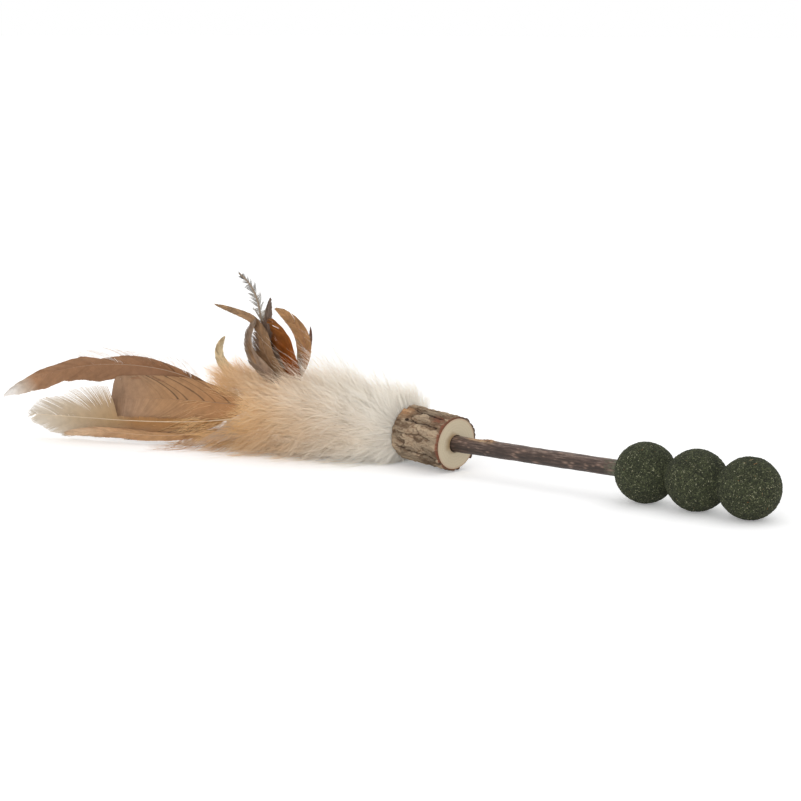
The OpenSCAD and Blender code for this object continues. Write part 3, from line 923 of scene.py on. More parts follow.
@dataclass
class BarkedLog:
    """The short log: pale sapwood inside, and a sleeve of flaky bark with its cracks, pit and chip."""

    wood_r: float = 11.45
    bark_r: float = 12.25
    rings: int = 150
    sides: int = 330
    pit_x: float = -23.0
    pit_angle: float = 139.0
    chip_angle: float = 302.0
    chip_arc: float = 30.0
    chip_len: float = 2.6
    cracks: list[tuple[float, list[tuple[float, float]]]] = field(default_factory=lambda: [
        (0.6, [(-26.0, 203), (-24.0, 203), (-20.4, 208), (-14.1, 208), (-7.9, 208), (-5.0, 214), (-0.4, 226)]),
        (0.3, [(-21.6, 128), (-20.6, 137), (-16.8, 141), (-11.0, 138), (-3.6, 141)]),
        (0.3, [(-24.2, 104), (-21.5, 107), (-17.7, 112), (-14.3, 110), (-6.9, 115), (-4.0, 113)]),
        (0.3, [(-22.0, 140), (-19.5, 141), (-17.0, 138)]),
        (0.2, [(-14.5, 146), (-15.0, 154), (-12.5, 163)]),
        (0.22, [(-26.0, 168), (-20.0, 171), (-12.5, 166), (-5.0, 172)]),
        (0.25, [(-28.0, 262), (-17.0, 258), (-6.0, 266)]),
        (0.3, [(-25.0, 322), (-14.0, 330), (-3.0, 325)]),
        (0.25, [(-27.0, 20), (-15.0, 27), (-2.0, 24)]),
        (0.25, [(-22.0, 62), (-12.0, 66), (-1.0, 60)])])

    def relief(self, x: Lines, angle: Lines) -> Relief:
        """Works out the bark's surface: plates and steps that run along the log, cracks, the pit and the chip.

        Args:
            x: Millimetres along the log's axis, 0 at the cut face.
            angle: Angle round the log, in radians.

        Returns:
            The surface.
        """
        skin = tube(x, angle, self.bark_r)
        warp = np.stack([fractal(skin * 0.16 + k, 3) for k in (3, 23, 43)], -1)
        bent = skin + warp * (2.6, 1.1, 1.1)
        plate, seam = np.empty_like(x), np.empty_like(x)
        for i, p in enumerate(bent * (0.13, 0.42, 0.42)):
            gaps, spots = noise.voronoi(Vector(p))
            seam[i] = gaps[1] - gaps[0]
            plate[i] = noise.cell(spots[0] * 3.7)
        seam = 0.55 * (1 - eased(seam, 0.0, 0.09))
        swell = fractal(skin * (0.1, 0.3, 0.3) + 5, 3)
        steps = fractal(bent * (0.22, 0.75, 0.75) + 12, 4)
        flakes = np.floor((steps + 0.3 * plate) * 5) / 5
        grain = fractal(skin * (0.7, 2.4, 2.4) + 2, 4)
        hairline = eased(-np.abs(fractal(bent * (0.16, 1.3, 1.3) + 90, 3)), -0.07, 0.0)
        wander = warp[:, 1] * 0.05
        crack = np.max([crack_share(x, angle + wander, self.bark_r, path, width) for width, path in self.cracks], 0)
        pit_turn = turn_from(angle, math.radians(self.pit_angle))
        pit = eased(-np.hypot((x - self.pit_x) / 1.25, pit_turn * self.bark_r / 0.8), -1.25, -0.8)
        height = 0.24 * swell + 0.42 * flakes + 0.1 * plate + 0.12 * grain - 0.12 * hairline
        radius = self.bark_r + height - 0.62 * crack - 0.3 * seam - 0.62 * pit
        radius = np.clip(radius, self.wood_r + 0.12, self.bark_r + 0.95)
        # The chip at the cut face, with the bark pushed up beside it
        chip_turn = np.abs(turn_from(angle, math.radians(self.chip_angle)))
        ragged = 0.5 * fractal(skin * 0.9 + 70, 2)
        half_arc = math.radians(self.chip_arc / 2)
        chip = (eased(x, -self.chip_len - 0.2 + ragged, -self.chip_len + 0.5 + ragged)
                * eased(-chip_turn, -half_arc - 0.06, -half_arc))
        right = eased(np.cos(angle - math.radians(20)), 0.1, 0.9)
        beside_chip = np.exp(-((chip_turn - math.radians(self.chip_arc / 2 + 6)) / 0.09) ** 2)
        lump = eased(x, -3.2, -0.8) * (beside_chip + 0.5 * right)
        radius = (radius + 0.45 * lump) * (1 - chip) + (self.wood_r + 0.1) * chip
        # The rim at the cut face is thinner where the saw tore it
        worn = eased(x, -0.8, 0.0) * (0.18 + 0.2 * eased(grain, -0.3, 0.4)) * (1 - right)
        radius = np.maximum(radius - worn, self.wood_r + 0.1)
        return Relief(plate, steps, swell, grain, hairline, crack, seam, pit, chip, right, lump, height, radius)

    def shares(self, x: Lines, angle: Lines, skin: Relief) -> dict[str, Lines]:
        """Gives the shares that the bark's material reads.

        Args:
            x: Millimetres along the log's axis.
            angle: Angle round the log, in radians.
            skin: The bark's surface.

        Returns:
            The shares by their names.
        """
        rim = eased(x, -1.3, -0.2)
        patch = np.exp(-((x + 5.5) / 6.0) ** 2 - ((angle - math.radians(119)) / 0.34) ** 2)
        low_rim = eased(x, -2.6, -0.6) * eased(-np.abs(angle - math.radians(170)), -1.0, -0.5)
        rust = np.clip(0.95 * rim + 1.1 * patch * (0.6 + 0.8 * skin.steps) + 0.8 * low_rim, 0, 1)
        tan = np.exp(-((x + 27.5) / 4.5) ** 2 - ((angle - math.radians(117)) / 0.26) ** 2) * 0.9
        # Painted shade: darker in the cracks, plate seams and pit, and below in the hairline cracks and the chip
        dark = np.clip(0.95 * skin.crack * (0.6 + 0.5 * eased(skin.grain, -0.4, 0.3)) + 0.6 * skin.seam + skin.pit,
                       0, 0.95)
        hairs = 0.5 * skin.hairline * eased(skin.grain + skin.swell, -0.5, 0.3)
        dark_rim = eased(x, -0.5 - 0.8 * skin.right, -0.3 * skin.right) * (0.35 + 0.6 * skin.right)
        dark_lump = np.clip(0.8 * skin.lump, 0, 0.8) * eased(x, -2.2, -0.4)
        return {"crack": np.max([dark, 0.85 * skin.chip, hairs, dark_rim, dark_lump], 0),
                "height": np.clip(0.5 + skin.height, 0, 1), "rust": rust, "tan": tan,
                # Painted shade: the plates darker over the log's lower half
                "plate": skin.plate - 0.6 * eased(angle, math.radians(165), math.radians(215))}

    def bark(self) -> bpy.types.Object:
        """Builds the sleeve of bark, closed on its inside by the wood's radius.

        Returns:
            The bark's piece.
        """
        bm, run, angle = Sleeve(LOG_LENGTH, self.rings, self.sides).rolled()
        x = run - LOG_LENGTH
        skin = self.relief(x, angle)
        for vert, place in zip(bm.verts, tube(x, angle, skin.radius)):
            vert.co = place
        outer = len(bm.verts)
        rims = [e for e in bm.edges if e.is_boundary]
        grown = bmesh.ops.extrude_edge_only(bm, edges=rims)["geom"]
        for vert in (g for g in grown if isinstance(g, bmesh.types.BMVert)):
            vert.co.yz = vert.co.yz.normalized() * self.wood_r
        bmesh.ops.bridge_loops(bm, edges=[e for e in bm.edges if e.is_boundary])
        bmesh.ops.recalc_face_normals(bm, faces=bm.faces[:])
        turned = Matrix.Rotation(math.radians(-LOG_SKEW), 4, "Z") @ Matrix.Rotation(math.radians(LOG_RISE), 4, "Y")
        bmesh.ops.transform(bm, matrix=Matrix.Scale(MM, 4) @ turned, verts=bm.verts[:])
        inner, inside = len(bm.verts) - outer, {"rust": 0.8, "crack": 0.6}
        return piece_of(mesh_of("bark_sleeve", bm), "bark_sleeve", **{
            key: np.concatenate([value, np.full(inner, inside.get(key, 0.5))])
            for key, value in self.shares(x, angle, skin).items()})

    def build(self) -> None:
        """Builds the bark, and dresses the wood and the glue of the model."""
        dressed(self.bark(), FlakyBark().material(), "log_bark", "log_bark")
        glue = CuredGlue().material()
        for node, material in {"log_wood": SawnSapwood().material(), "stick_glue": glue,
                               "feather_glue": glue}.items():
            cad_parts[node].data.materials.clear()
            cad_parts[node].data.materials.append(material)


@dataclass
class Feather:
    """A feather: a shaft with a vane of barbs to each side, hooked in clumps that part at the edge."""

    node: str
    slot: str
    finish: FeatherVane
    rachis: str
    spot: tuple[float, float]
    length: float
    up: float
    down: float
    vane_from: float
    swell: float
    blunt: float
    camber: float
    own: list[tuple[float, float, float, float]]
    up_shape: tuple[tuple[float, float], ...] = ((0.0, 1.0), (1.0, 1.0))
    down_shape: tuple[tuple[float, float], ...] = ((0.0, 1.0), (1.0, 1.0))
    slits: tuple[tuple[float, Side, float], ...] = ()
    # Painted shade: dark bars across the vane, by place, side and width
    shade_bars: tuple[tuple[float, Side, float], ...] = ()
    bare: float = -1.0
    fringe: tuple[float, float, float, int] | None = None
    spacing: float = 0.34
    clump: float = 5.0
    split: float = 0.05
    fray: float = 0.05
    sweep: float = 1.8
    low_sweep: float = 0.0
    tilt: float = 0.35
    barb_w: float = 0.32
    wave: float = 0.45
    loose: float = 0.0
    rachis_r: tuple[float, float] = (0.4, 0.12)
    tint: float = 1.0
    seed: int = 1

    def __post_init__(self) -> None:
        """Lays the shaft out of the log."""
        rows = [(0, LOG_RISE, -LOG_SKEW, 0), (NECK / self.length, LEAD_RISE, LEAD_TURN, 0),
                (LEAD / self.length, LEAD_RISE, LEAD_TURN, 0), *self.own]
        self.shaft = Shaft(rear(self.spot), self.length, rows)
        self.base, self.span = self.vane_from * self.length, (1 - self.vane_from) * self.length
        self.rng = np.random.default_rng(self.seed)

    def form(self, u: Lines) -> Lines:
        """Gives the share of its width that the vane has, from its base at 0 to its tip at 1."""
        v = np.clip(u, 0, 1)
        return (1 - (1 - v) ** self.swell) * np.sqrt(1 - v ** self.blunt)

    def reached(self, x0: Lines, side: Side, width: float, fuller: Lines) -> tuple[Lines, Lines]:
        """Finds how far barbs reach, from where their tips come to lie.

        Args:
            x0: The barbs' roots along the shaft.
            side: The vane's side.
            width: The vane's width.
            fuller: Shares of the vane and the width's factors there.

        Returns:
            The barbs' sweep towards the tip, and their reach away from the shaft.
        """
        root = (x0 - self.base) / self.span
        sweep = (self.low_sweep or self.sweep) if side is Side.LOWER else self.sweep
        bend = sweep + (self.sweep - sweep) * eased(root, 0.4, 0.8)
        reach = np.full(x0.shape, width * 0.5)
        if self.blunt > 20:
            bend = sweep * (1 - eased(root, 0.3, 1.0))
        if side is Side.UPPER and self.bare > 0:
            bend = sweep * (0.06 + 0.94 * eased(root, self.bare, self.bare + 0.2))
        for _ in range(14):
            u = (x0 + reach * bend - self.base) / self.span
            reach = 0.5 * reach + 0.5 * width * self.form(u) * np.interp(u, fuller[:, 0], fuller[:, 1])
        if side is Side.UPPER and self.bare > 0:
            reach = np.where(root < self.bare, 0.12 * reach, reach)
        return bend, reach

    def roots(self, side: Side, width: float, fuller: Lines) -> Lines:
        """Spaces the barbs' roots so that their tips come out evenly.

        Args:
            side: The vane's side.
            width: The vane's width.
            fuller: Shares of the vane and the width's factors there.

        Returns:
            The roots' places along the shaft.
        """
        fine = np.linspace(self.base - 0.4 * width, self.base + self.span, 1200)
        bend, far = self.reached(fine, side, width, fuller)
        tips = np.maximum.accumulate(fine + 0.55 * bend * far)
        count = int((tips[-1] - tips[0]) / self.spacing)
        return np.interp(tips[0] + (tips[-1] - tips[0]) * (np.arange(count) + self.rng.random(count) * 0.7) / count,
                         tips, fine)

    def clumps(self, x0: Lines) -> tuple[Lines, Lines]:
        """Groups barbs into clumps that hook together.

        Args:
            x0: The barbs' roots along the shaft.

        Returns:
            The middle of each barb's clump, and four chances that the barbs of a clump share.
        """
        edges = np.cumsum(self.clump * (0.4 + 1.2 * self.rng.random(int(3 * self.span / self.clump) + 8))) + x0[0]
        group = np.searchsorted(edges, x0)
        middle = edges[group] - 0.5 * np.diff(np.concatenate([[x0[0]], edges]))[group]
        return middle, self.rng.random((len(edges) + 1, 4))[group]

    def tones(self, x0: Lines, side: Side, chance: Lines) -> Lines:
        """Gives each barb's tone, with dark bars of painted shade across the vane where gaps between barbs show shade.

        Args:
            x0: The barbs' roots along the shaft.
            side: The vane's side.
            chance: The chances of each barb's clump.

        Returns:
            Tones, 0 for the plain shade and less for a darker one.
        """
        tone = self.tint * (0.45 * (chance[:, 1] * 2 - 1) + 0.5 * (self.rng.random(len(x0)) * 2 - 1))
        # Painted shade: barbs darkened into bars where the gaps between barbs show shade
        for at, dark_side, wide in self.shade_bars:
            if dark_side is side:
                tone = np.minimum(tone, -3.7 * np.exp(-((x0 - self.base - at * self.span) / wide) ** 4))
        return tone

    def vane(self, side: Side) -> bpy.types.Object:
        """Builds the barbs of one side.

        Args:
            side: The vane's side.

        Returns:
            The barbs' piece.
        """
        segments = 8
        width, shape = (self.up, self.up_shape) if side is Side.UPPER else (self.down, self.down_shape)
        fuller = np.array(shape)
        x0 = self.roots(side, width, fuller)
        middle, chance = self.clumps(x0)
        count = len(x0)
        bend, reach = self.reached(x0, side, width, fuller)
        reach *= 1 - self.fray * (0.6 * chance[:, 0] + 0.9 * self.rng.random(count) ** 2)
        reach = np.maximum(reach, 0.15)
        s = np.linspace(0, 1, segments + 1)[None]
        out = reach[:, None] * s
        run = x0[:, None] + (bend * reach)[:, None] * (0.55 * s + 0.45 * s ** 2)
        run -= (x0 - middle)[:, None] * self.split * (0.4 + 1.2 * chance[:, 1:2]) * s ** 2
        for at, slit_side, gap in self.slits:
            if slit_side is side:
                off = x0[:, None] - (self.base + at * self.span)
                run += np.where(off > 0, 0.5, -0.5) * gap * np.exp(-np.abs(off) / (2.2 * gap)) * s ** 1.4
        place, _, flat, normal = self.shaft.at(run)
        fall = self.camber * (out / max(self.up, self.down)) ** 2 * self.form((x0 - self.base) / self.span)[:, None]
        ripple = self.wave * (np.sin(x0 * 0.33 + side) + 0.5 * np.sin(x0 * 0.81 + 2 * side)
                              + 0.35 * (chance[:, 3] - 0.5))
        lifted = -fall + ripple[:, None] * s ** 1.5 + 0.05 * (self.rng.random(count)[:, None] - 0.5)
        if self.loose:
            drift = self.rng.normal(size=(count, 2)) * self.loose
            lifted = lifted + drift[:, :1] * s ** 2 * reach[:, None] * 0.3
            out = out * (1 + drift[:, 1:] * 0.12 * s)
        lines = place + flat * (side * out)[..., None] + normal * lifted[..., None]
        way = unit(np.gradient(lines, axis=1))
        across = unit(np.cross(way, normal))
        taper = (1 - 0.72 * s ** 1.6)[..., None]
        half = (self.barb_w * (0.85 + 0.3 * self.rng.random(count)))[:, None, None] * taper
        wide = (across * math.cos(self.tilt) + normal * math.sin(self.tilt)) * half
        thick = unit(np.cross(wide, way)) * 0.045 * taper
        tone = self.tones(x0, side, chance)
        where = np.clip((run - self.base) / self.span, 0, 1)
        bare = (side is Side.UPPER) & ((x0 - self.base) / self.span < self.bare)
        pale = (0.7 + 0.3 * chance[:, :1]) * np.where(bare, 0.1, 1)[:, None]
        return Strands(4, segments).laid(f"{self.node}_barbs", lines, wide, thick, tone=tone, place=where,
                                         across=np.repeat(s, count, 0) * pale)

    def fringes(self) -> bpy.types.Object:
        """Builds the loose pale hairs that stand past a vane's edge.

        Returns:
            The hairs' piece.
        """
        low, high, far, count = self.fringe
        segments = 6
        x0 = self.base + self.span * (low + (high - low) * self.rng.random(count))
        s = np.linspace(0, 1, segments + 1)[None]
        reach = far * (1.0 + 0.45 * self.rng.random(count))
        run = x0[:, None] + np.abs(reach)[:, None] * (0.7 * s + 1.1 * s ** 2)
        place, _, flat, normal = self.shaft.at(run)
        drift = self.rng.normal(size=count)[:, None] * 0.5 * s ** 2
        # Hairs under a feather spread over the floor towards the near side
        drift += (np.minimum(reach, 0) * (0.4 + 1.8 * self.rng.random(count)))[:, None] * s
        lines = place + flat * (reach[:, None] * s ** 0.9)[..., None] + normal * drift[..., None]
        lines[..., 2] = np.maximum(lines[..., 2], FLOOR_Z + 0.3 + 2.2 * self.rng.random((count, 1)))
        way = unit(np.gradient(lines, axis=1))
        radius = (0.085 - 0.055 * s)[..., None]
        wide = unit(np.cross(way, normal)) * radius
        return Strands(3, segments).laid(f"{self.node}_fringe", lines, wide, unit(np.cross(wide, way)) * radius,
                                         tone=self.rng.random(count), place=np.full(count, 1.0 if far > 0 else 0.3),
                                         across=np.ones(count))

    def stem(self) -> bpy.types.Object:
        """Builds the tapered shaft from the glue to the tip.

        Returns:
            The shaft's piece.
        """
        segments = 60
        x = np.linspace(-QUILL_DEPTH, self.length * 0.995, segments + 1)[None]
        place, _, flat, normal = self.shaft.at(x)
        back = np.minimum(x, 0)[..., None] * (along(LOG_RISE, -LOG_SKEW) - along(*self.shaft.table[0, 1:3]))
        share = np.clip(x / self.length, 0, 1)[..., None]
        radius = self.rachis_r[0] + (self.rachis_r[1] - self.rachis_r[0]) * share
        ones = np.ones_like(x)
        return Strands(8, segments).laid(f"{self.node}_stem", place + back, flat * radius, normal * radius,
                                          tone=ones[:, 0] * 0, place=share[..., 0], across=ones * 0)

    def build(self) -> bpy.types.Object:
        """Builds and dresses the whole feather.

        Returns:
            The dressed piece.
        """
        vane = self.finish.material()
        pieces = [self.vane(Side.UPPER), self.vane(Side.LOWER), self.stem()]
        pieces[2].data.materials.append(FeatherRachis(f"{self.node}_horn", self.rachis).material())
        if self.fringe:
            pieces.append(self.fringes())
        for piece in pieces[:2] + pieces[3:]:
            piece.data.materials.append(vane)
        piece = joined(pieces)
        piece.name = self.node + "_feather"
        return dressed(piece, vane, self.slot, self.node)


@dataclass(frozen=True)
class Curl:
    """A curled feather's shades and shaft, and what sets its vane apart from the other curled ones."""

    name: str
    slot: str
    stops: tuple[tuple[float, str], ...]
    edge: str
    spot: tuple[float, float]
    length: float
    width: float
    vane_from: float
    own: list[tuple[float, float, float, float]]
    vane: dict[str, object]

    def feather(self, seed: int) -> Feather:
        """Makes the feather, with the fine and mottled vane that the curled ones share.

        Args:
            seed: Seed of the feather's own chance.

        Returns:
            The feather.
        """
        common = {"spacing": 0.3, "barb_w": 0.26, "clump": 3.0, "wave": 0.2, "rachis_r": (0.4, 0.1), "sweep": 2.2,
                  "tint": 2.2}
        return Feather(
            f"curl_{self.name}", self.slot, FeatherVane(f"{self.name}_vane", self.stops, self.edge, 0.35, 0.25),
            self.stops[0][1], self.spot, self.length, up=self.width / 2, down=self.width / 2,
            vane_from=self.vane_from, swell=4, blunt=3, camber=self.width * 0.15, own=self.own, seed=seed,
            **{**common, **self.vane})


@dataclass(frozen=True)
class DownMass:
    """The form that all the down has together: its reach round the middle line of the tail, and where it ends."""

    length: float = 150.0
    reach: tuple[tuple[float, float, float, float], ...] = (
        (0, 9.0, 11.4, 10.6), (6, 9.5, 12.8, 12.0), (10, 10.0, 13.6, 13.4), (15, 11.0, 14.4, 15.2),
        (20, 12.0, 15.0, 16.6), (30, 13.0, 15.8, 18.6), (40, 12.8, 16.2, 20.4), (50, 11.4, 16.2, 21.2),
        (60, 9.8, 15.8, 21.2), (70, 10.4, 15.2, 20.8), (80, 15.6, 14.6, 20.0), (92, 16.6, 14.0, 19.0),
        (120, 10.0, 12.0, 17.0), (150, 8.0, 9.0, 15.0))
    ends: tuple[tuple[float, float], ...] = (
        (-180, 128), (-155, 106), (-140, 92), (-120, 85), (-98, 79), (-70, 76), (-43, 84), (-15, 98),
        (43, 102), (98, 104), (151, 124), (180, 128))
    taper: float = 44.0

    def middle(self, x: Lines) -> tuple[Lines, Lines, Lines, Lines]:
        """Gives the middle line's places, ways forward, ways up and ways to the far side."""
        return Shaft(rear((0, 0)), self.length, [(0, LOG_RISE, -LOG_SKEW, 0), (0.06, 11, LEAD_TURN, 0),
                     (0.22, 11, LEAD_TURN, 0), (0.34, 0, LEAD_TURN, 0), (1, 0, LEAD_TURN, 0)]).at(x)

    def end(self, turn: Lines) -> Lines:
        """Gives how far from the log the down ends, by degrees from the top towards the far side."""
        table = np.array(self.ends)
        return np.interp((turn + 180) % 360 - 180, table[:, 0], table[:, 1])

    def radius(self, x: Lines, turn: Lines) -> Lines:
        """Gives the reach of the dense down.

        Args:
            x: Millimetres from the log's rear face.
            turn: Degrees round the middle line.

        Returns:
            Millimetres from the middle line.
        """
        table = np.array(self.reach)
        top, side, low = (np.interp(x, table[:, 0], table[:, k]) for k in (1, 2, 3))
        c, s = np.cos(np.radians(turn)), np.sin(np.radians(turn))
        side = side - np.where(s > 0, 2.2, 0) * np.exp(-x / 14)
        fuller = 2 + np.clip(-c, 0, 1) * np.where(s < 0, 3.2, 1.0)
        form = ((np.abs(c) / np.where(c > 0, top, low)) ** fuller + (np.abs(s) / side) ** fuller) ** (-1 / fuller)
        over = np.clip((x - self.end(turn) + self.taper) / self.taper, 0, 1)
        thinned = 1 - (0.42 - 0.32 * np.clip(-1.5 * c, 0, 1)) * over ** 2
        return form * thinned * np.sqrt(np.clip((self.end(turn) + 5 - x) / 15, 0.0004, 1))

    def gold(self, places: Lines) -> Lines:
        """Gives the share of gold in the down, which is white near the log and paler at the rims: at the top, and at
        the bottom as painted light that lifts the shaded underside.
        """
        x, z = places[..., 0], places[..., 2]
        return eased(0.13 - (x + 30) / 97 - np.maximum(z - 5, 0) * 0.012 - np.maximum(-1 - z, 0) * 0.014)


@dataclass
class Plume:
    """One plume of down: its quill, the dense down round it and the tufts of loose barbs on its sector."""

    number: int
    low: float
    high: float
    slot: str
    mass: DownMass
    finish: bpy.types.Material
    strands: int = 4300
    tuft: int = 10
    segments: int = 5
    core_share: float = 0.93
    core_start: float = 1.6
    core_least: float = 59.0
    core_part: float = 0.6
    core_rings: int = 48
    far_side: float = 32.4
    seed: int = 100

    def __post_init__(self) -> None:
        """Finds the middle of the plume's sector."""
        self.angle = (self.low + self.high) / 2
        self.count = self.strands // self.tuft
        self.rng = np.random.default_rng(self.seed + self.number)
        self.length = float(self.mass.end(np.array(self.angle)))

    def spot(self, x: Lines, turn: Lines, share: Lines | float) -> tuple[Lines, Lines, Lines, Lines]:
        """Gives places in the down.

        Args:
            x: Millimetres from the log's rear face.
            turn: Degrees round the middle line.
            share: Shares of the reach there.

        Returns:
            Places, ways forward, ways out and ways round.
        """
        place, forward, up, far = self.mass.middle(x)
        c, s = np.cos(np.radians(turn))[..., None], np.sin(np.radians(turn))[..., None]
        out = up * c + far * s
        return place + out * (share * self.mass.radius(x, turn))[..., None], forward, out, far * c - up * s

    def core(self) -> bpy.types.Object:
        """Builds the dense down of the sector, cut back to the common form so that no gap shows between plumes.

        Returns:
            The core's piece.
        """
        stop = max(self.core_least, self.core_part * self.length)
        x = np.linspace(self.core_start, stop, self.core_rings + 1)[None]
        turn = np.full_like(x, self.angle)
        place, _, out, around = self.spot(x, turn, 0.5 * self.core_share)
        radius = (self.mass.radius(x, turn) * np.sqrt(np.clip((stop + 0.3 - x) / 30, 0, 1)))[..., None]
        core = Strands(28, self.core_rings).laid(
            f"down_core_{self.number}", place, out * radius * 0.5, around * radius * 0.62, tone=np.zeros(1),
            gold=self.mass.gold(place), run=np.full(1, 0.3))
        flat = np.empty(len(core.data.vertices) * 3, np.float32)
        core.data.vertices.foreach_get("co", flat)
        spots = self.cut_back(flat.reshape(-1, 3) / MM, x[0])
        core.data.vertices.foreach_set("co", (spots * MM).astype(np.float32).ravel())
        core.data.update()
        return core

    def cut_back(self, spots: Lines, x: Lines) -> Lines:
        """Cuts points back to the form that all the plumes share, and keeps them off the floor.

        Args:
            spots: The core's points in millimetres.
            x: Distances of the core's rings from the log.

        Returns:
            The points, moved where needed.
        """
        middle, forward, up, far = self.mass.middle(x)
        ring = np.abs(((spots[:, None] - middle[None]) * forward[None]).sum(-1)).argmin(1)
        off, run = spots - middle[ring], x[ring]
        turns = np.degrees(np.arctan2((off * far[ring]).sum(-1), (off * up[ring]).sum(-1)))
        limit = self.mass.radius(run + 16, turns) / (1 + 0.004 * run)
        limit = np.minimum(limit, self.mass.radius(run, turns)) * (self.core_share - 0.006 * self.number)
        limit *= np.minimum(1, 0.6 + run / 10)
        held = middle[ring] + off * np.minimum(1, limit / np.maximum(np.linalg.norm(off, axis=-1), 1e-6))[:, None]
        held[:, 2] = np.maximum(held[:, 2], FLOOR_Z + 0.4)
        return held

    def sown(self, pick: Lines) -> tuple[Lines, Lines, Lines]:
        """Sows the barbs' roots over the sector, in tufts.

        Args:
            pick: Each barb's tuft.

        Returns:
            Each barb's distance from the log, its degrees round the middle line and its share of the reach.
        """
        n = self.strands
        turn = (self.low + (self.high - self.low) * self.rng.random(self.count))[pick]
        begin = np.maximum(self.rng.random(self.count) * 1.1 - 0.1, 0)[pick] * (self.mass.end(turn) - 3)
        x = np.maximum(begin + self.rng.normal(size=n) * 1.5, 0.6 * self.rng.random(n) + 0.2)
        turn = turn + self.rng.normal(size=n) * 5.0
        share = 0.8 + 0.12 * self.rng.random(self.count)[pick] + 0.03 * self.rng.normal(size=n)
        return x, turn, share * (1 - 0.55 * self.rng.random(n) * np.exp(-x / 3))

    def laid_back(self, x: Lines, turn: Lines, pick: Lines) -> tuple[Lines, Lines, Lines, Lines]:
        """Chooses how the barbs lie: back along the tail, and up near the log.

        Args:
            x: Each barb's distance from the log.
            turn: Degrees round the middle line.
            pick: Each barb's tuft.

        Returns:
            Degrees off the mass, degrees round it, lengths, and which barbs are long thin wisps.
        """
        n, count = self.strands, self.count
        top = np.clip(np.cos(np.radians(turn)), 0, 1)
        near_log = np.exp(-x / 9)
        steep = (17 + (8 + 16 * top) * np.exp(-x / 34) + 26 * near_log + 11 * self.rng.normal(size=count)[pick]
                 + 6 * self.rng.normal(size=n) + 16 * top * eased(x, 66, 80))
        # Some tufts stand off the mass, up from its back or out over the floor
        high = (top > 0.5) & (x < 44)
        flown = (self.rng.random(count)[pick] < np.where(high, 0.16, 0.08)) & (x > 10) & ((x < 72) | (top == 0))
        raised = 50 + 7 * self.rng.normal(size=count)[pick] + 3 * self.rng.normal(size=n)
        steep = np.clip(np.where(flown, raised, steep), 4, 72)
        drift = (22 * self.rng.normal(size=count)[pick] + 9 * self.rng.normal(size=n)) * (1 - 0.55 * eased(x, 70, 100))
        long = (8.5 + 5.5 * self.rng.random(count)[pick] + 2.0 * self.rng.normal(size=n) + 4.0 * top * np.exp(-x / 60)
                + 1.5 * near_log)
        wisp = self.rng.random(n) < 0.05
        long = np.maximum(long, 4.0) * np.where(wisp, 1.6, 1.0) * np.where(flown, np.where(high, 1.7, 1.45), 1.0)
        return steep, drift, long, wisp

    def curved(self, steep: Lines, drift: Lines, long: Lines) -> list[Lines]:
        """Curves the barbs, which rise at first and then lie down, and wave to the sides.

        Args:
            steep: Degrees off the mass.
            drift: Degrees round it.
            long: Lengths.

        Returns:
            How far each point lies along the tail, off it and round it.
        """
        s = np.linspace(0, 1, self.segments + 1)[None]
        mid = (s[:, 1:] + s[:, :-1]) / 2
        rise = np.radians(steep)[:, None] * (1.35 - 0.8 * mid)
        phase = (self.rng.random(self.strands) * math.tau)[:, None]
        yaw = np.radians(drift)[:, None] * (0.4 + 1.2 * mid) + 0.36 * np.sin(5 * mid + phase)
        step = (long / self.segments)[:, None]
        moves = [np.cos(rise) * np.cos(yaw) * step, np.sin(rise) * step, np.cos(rise) * np.sin(yaw) * step]
        return [np.hstack([np.zeros((self.strands, 1)), np.cumsum(m, 1)])[..., None] for m in moves]

    def tufts(self) -> bpy.types.Object:
        """Builds the loose barbs, which stay clear of the log, the floor and the far side's limit.

        Returns:
            The loose barbs' piece.
        """
        n, count = self.strands, self.count
        pick = self.rng.integers(0, count, n)
        x, turn, share = self.sown(pick)
        place, forward, out, around = self.spot(x, turn, np.clip(share, 0.3, 0.97))
        steep, drift, long, wisp = self.laid_back(x, turn, pick)
        on, off, by = self.curved(steep, drift, long)
        lines = clear_of_log(place[:, None] + forward[:, None] * on + out[:, None] * off + around[:, None] * by)
        lines[..., 2] = np.maximum(lines[..., 2], FLOOR_Z + 0.15 + 0.5 * self.rng.random((n, 1)))
        lines[..., 1] = np.minimum(lines[..., 1], self.far_side - self.rng.random((n, 1)))
        way = unit(np.gradient(lines, axis=1))
        flatly = unit(np.cross(way, out[:, None]))
        s = np.linspace(0, 1, self.segments + 1)[None]
        stout = (0.7 + 0.6 * self.rng.random(n)) * np.where(wisp, 0.6, 1)
        radius = (0.072 - 0.05 * s)[..., None] * stout[:, None, None]
        tone = 0.6 * (self.rng.random(count)[pick] * 2 - 1) + 0.5 * (self.rng.random(n) * 2 - 1)
        gold = np.clip(self.mass.gold(lines) + 0.08 * tone[:, None], 0, 1)
        return Strands(3, self.segments).laid(f"down_plume_{self.number}", lines, flatly * radius,
                                              unit(np.cross(flatly, way)) * radius, tone=tone, gold=gold,
                                              run=np.repeat(s, n, 0))

    def build(self) -> bpy.types.Object:
        """Builds and dresses the plume.

        Returns:
            The dressed piece.
        """
        segments = 40
        x = np.linspace(-QUILL_DEPTH, self.length * 0.9, segments + 1)[None]
        outward = np.clip(x / 20, 0, 1)
        place, _, out, around = self.spot(x, np.full_like(x, self.angle), 0.6 * outward)
        place = place + out * (3.9 * (1 - outward))[..., None]
        size = (0.45 - 0.33 * np.clip(x / self.length, 0, 1))[..., None]
        quill = Strands(6, segments).laid("quill", place, out * size, around * size, tone=np.zeros(1),
                                          gold=np.full(1, 0.4), run=np.zeros(1))
        return dressed(joined([self.tufts(), self.core(), quill]), self.finish, self.slot, f"down_{self.number}")


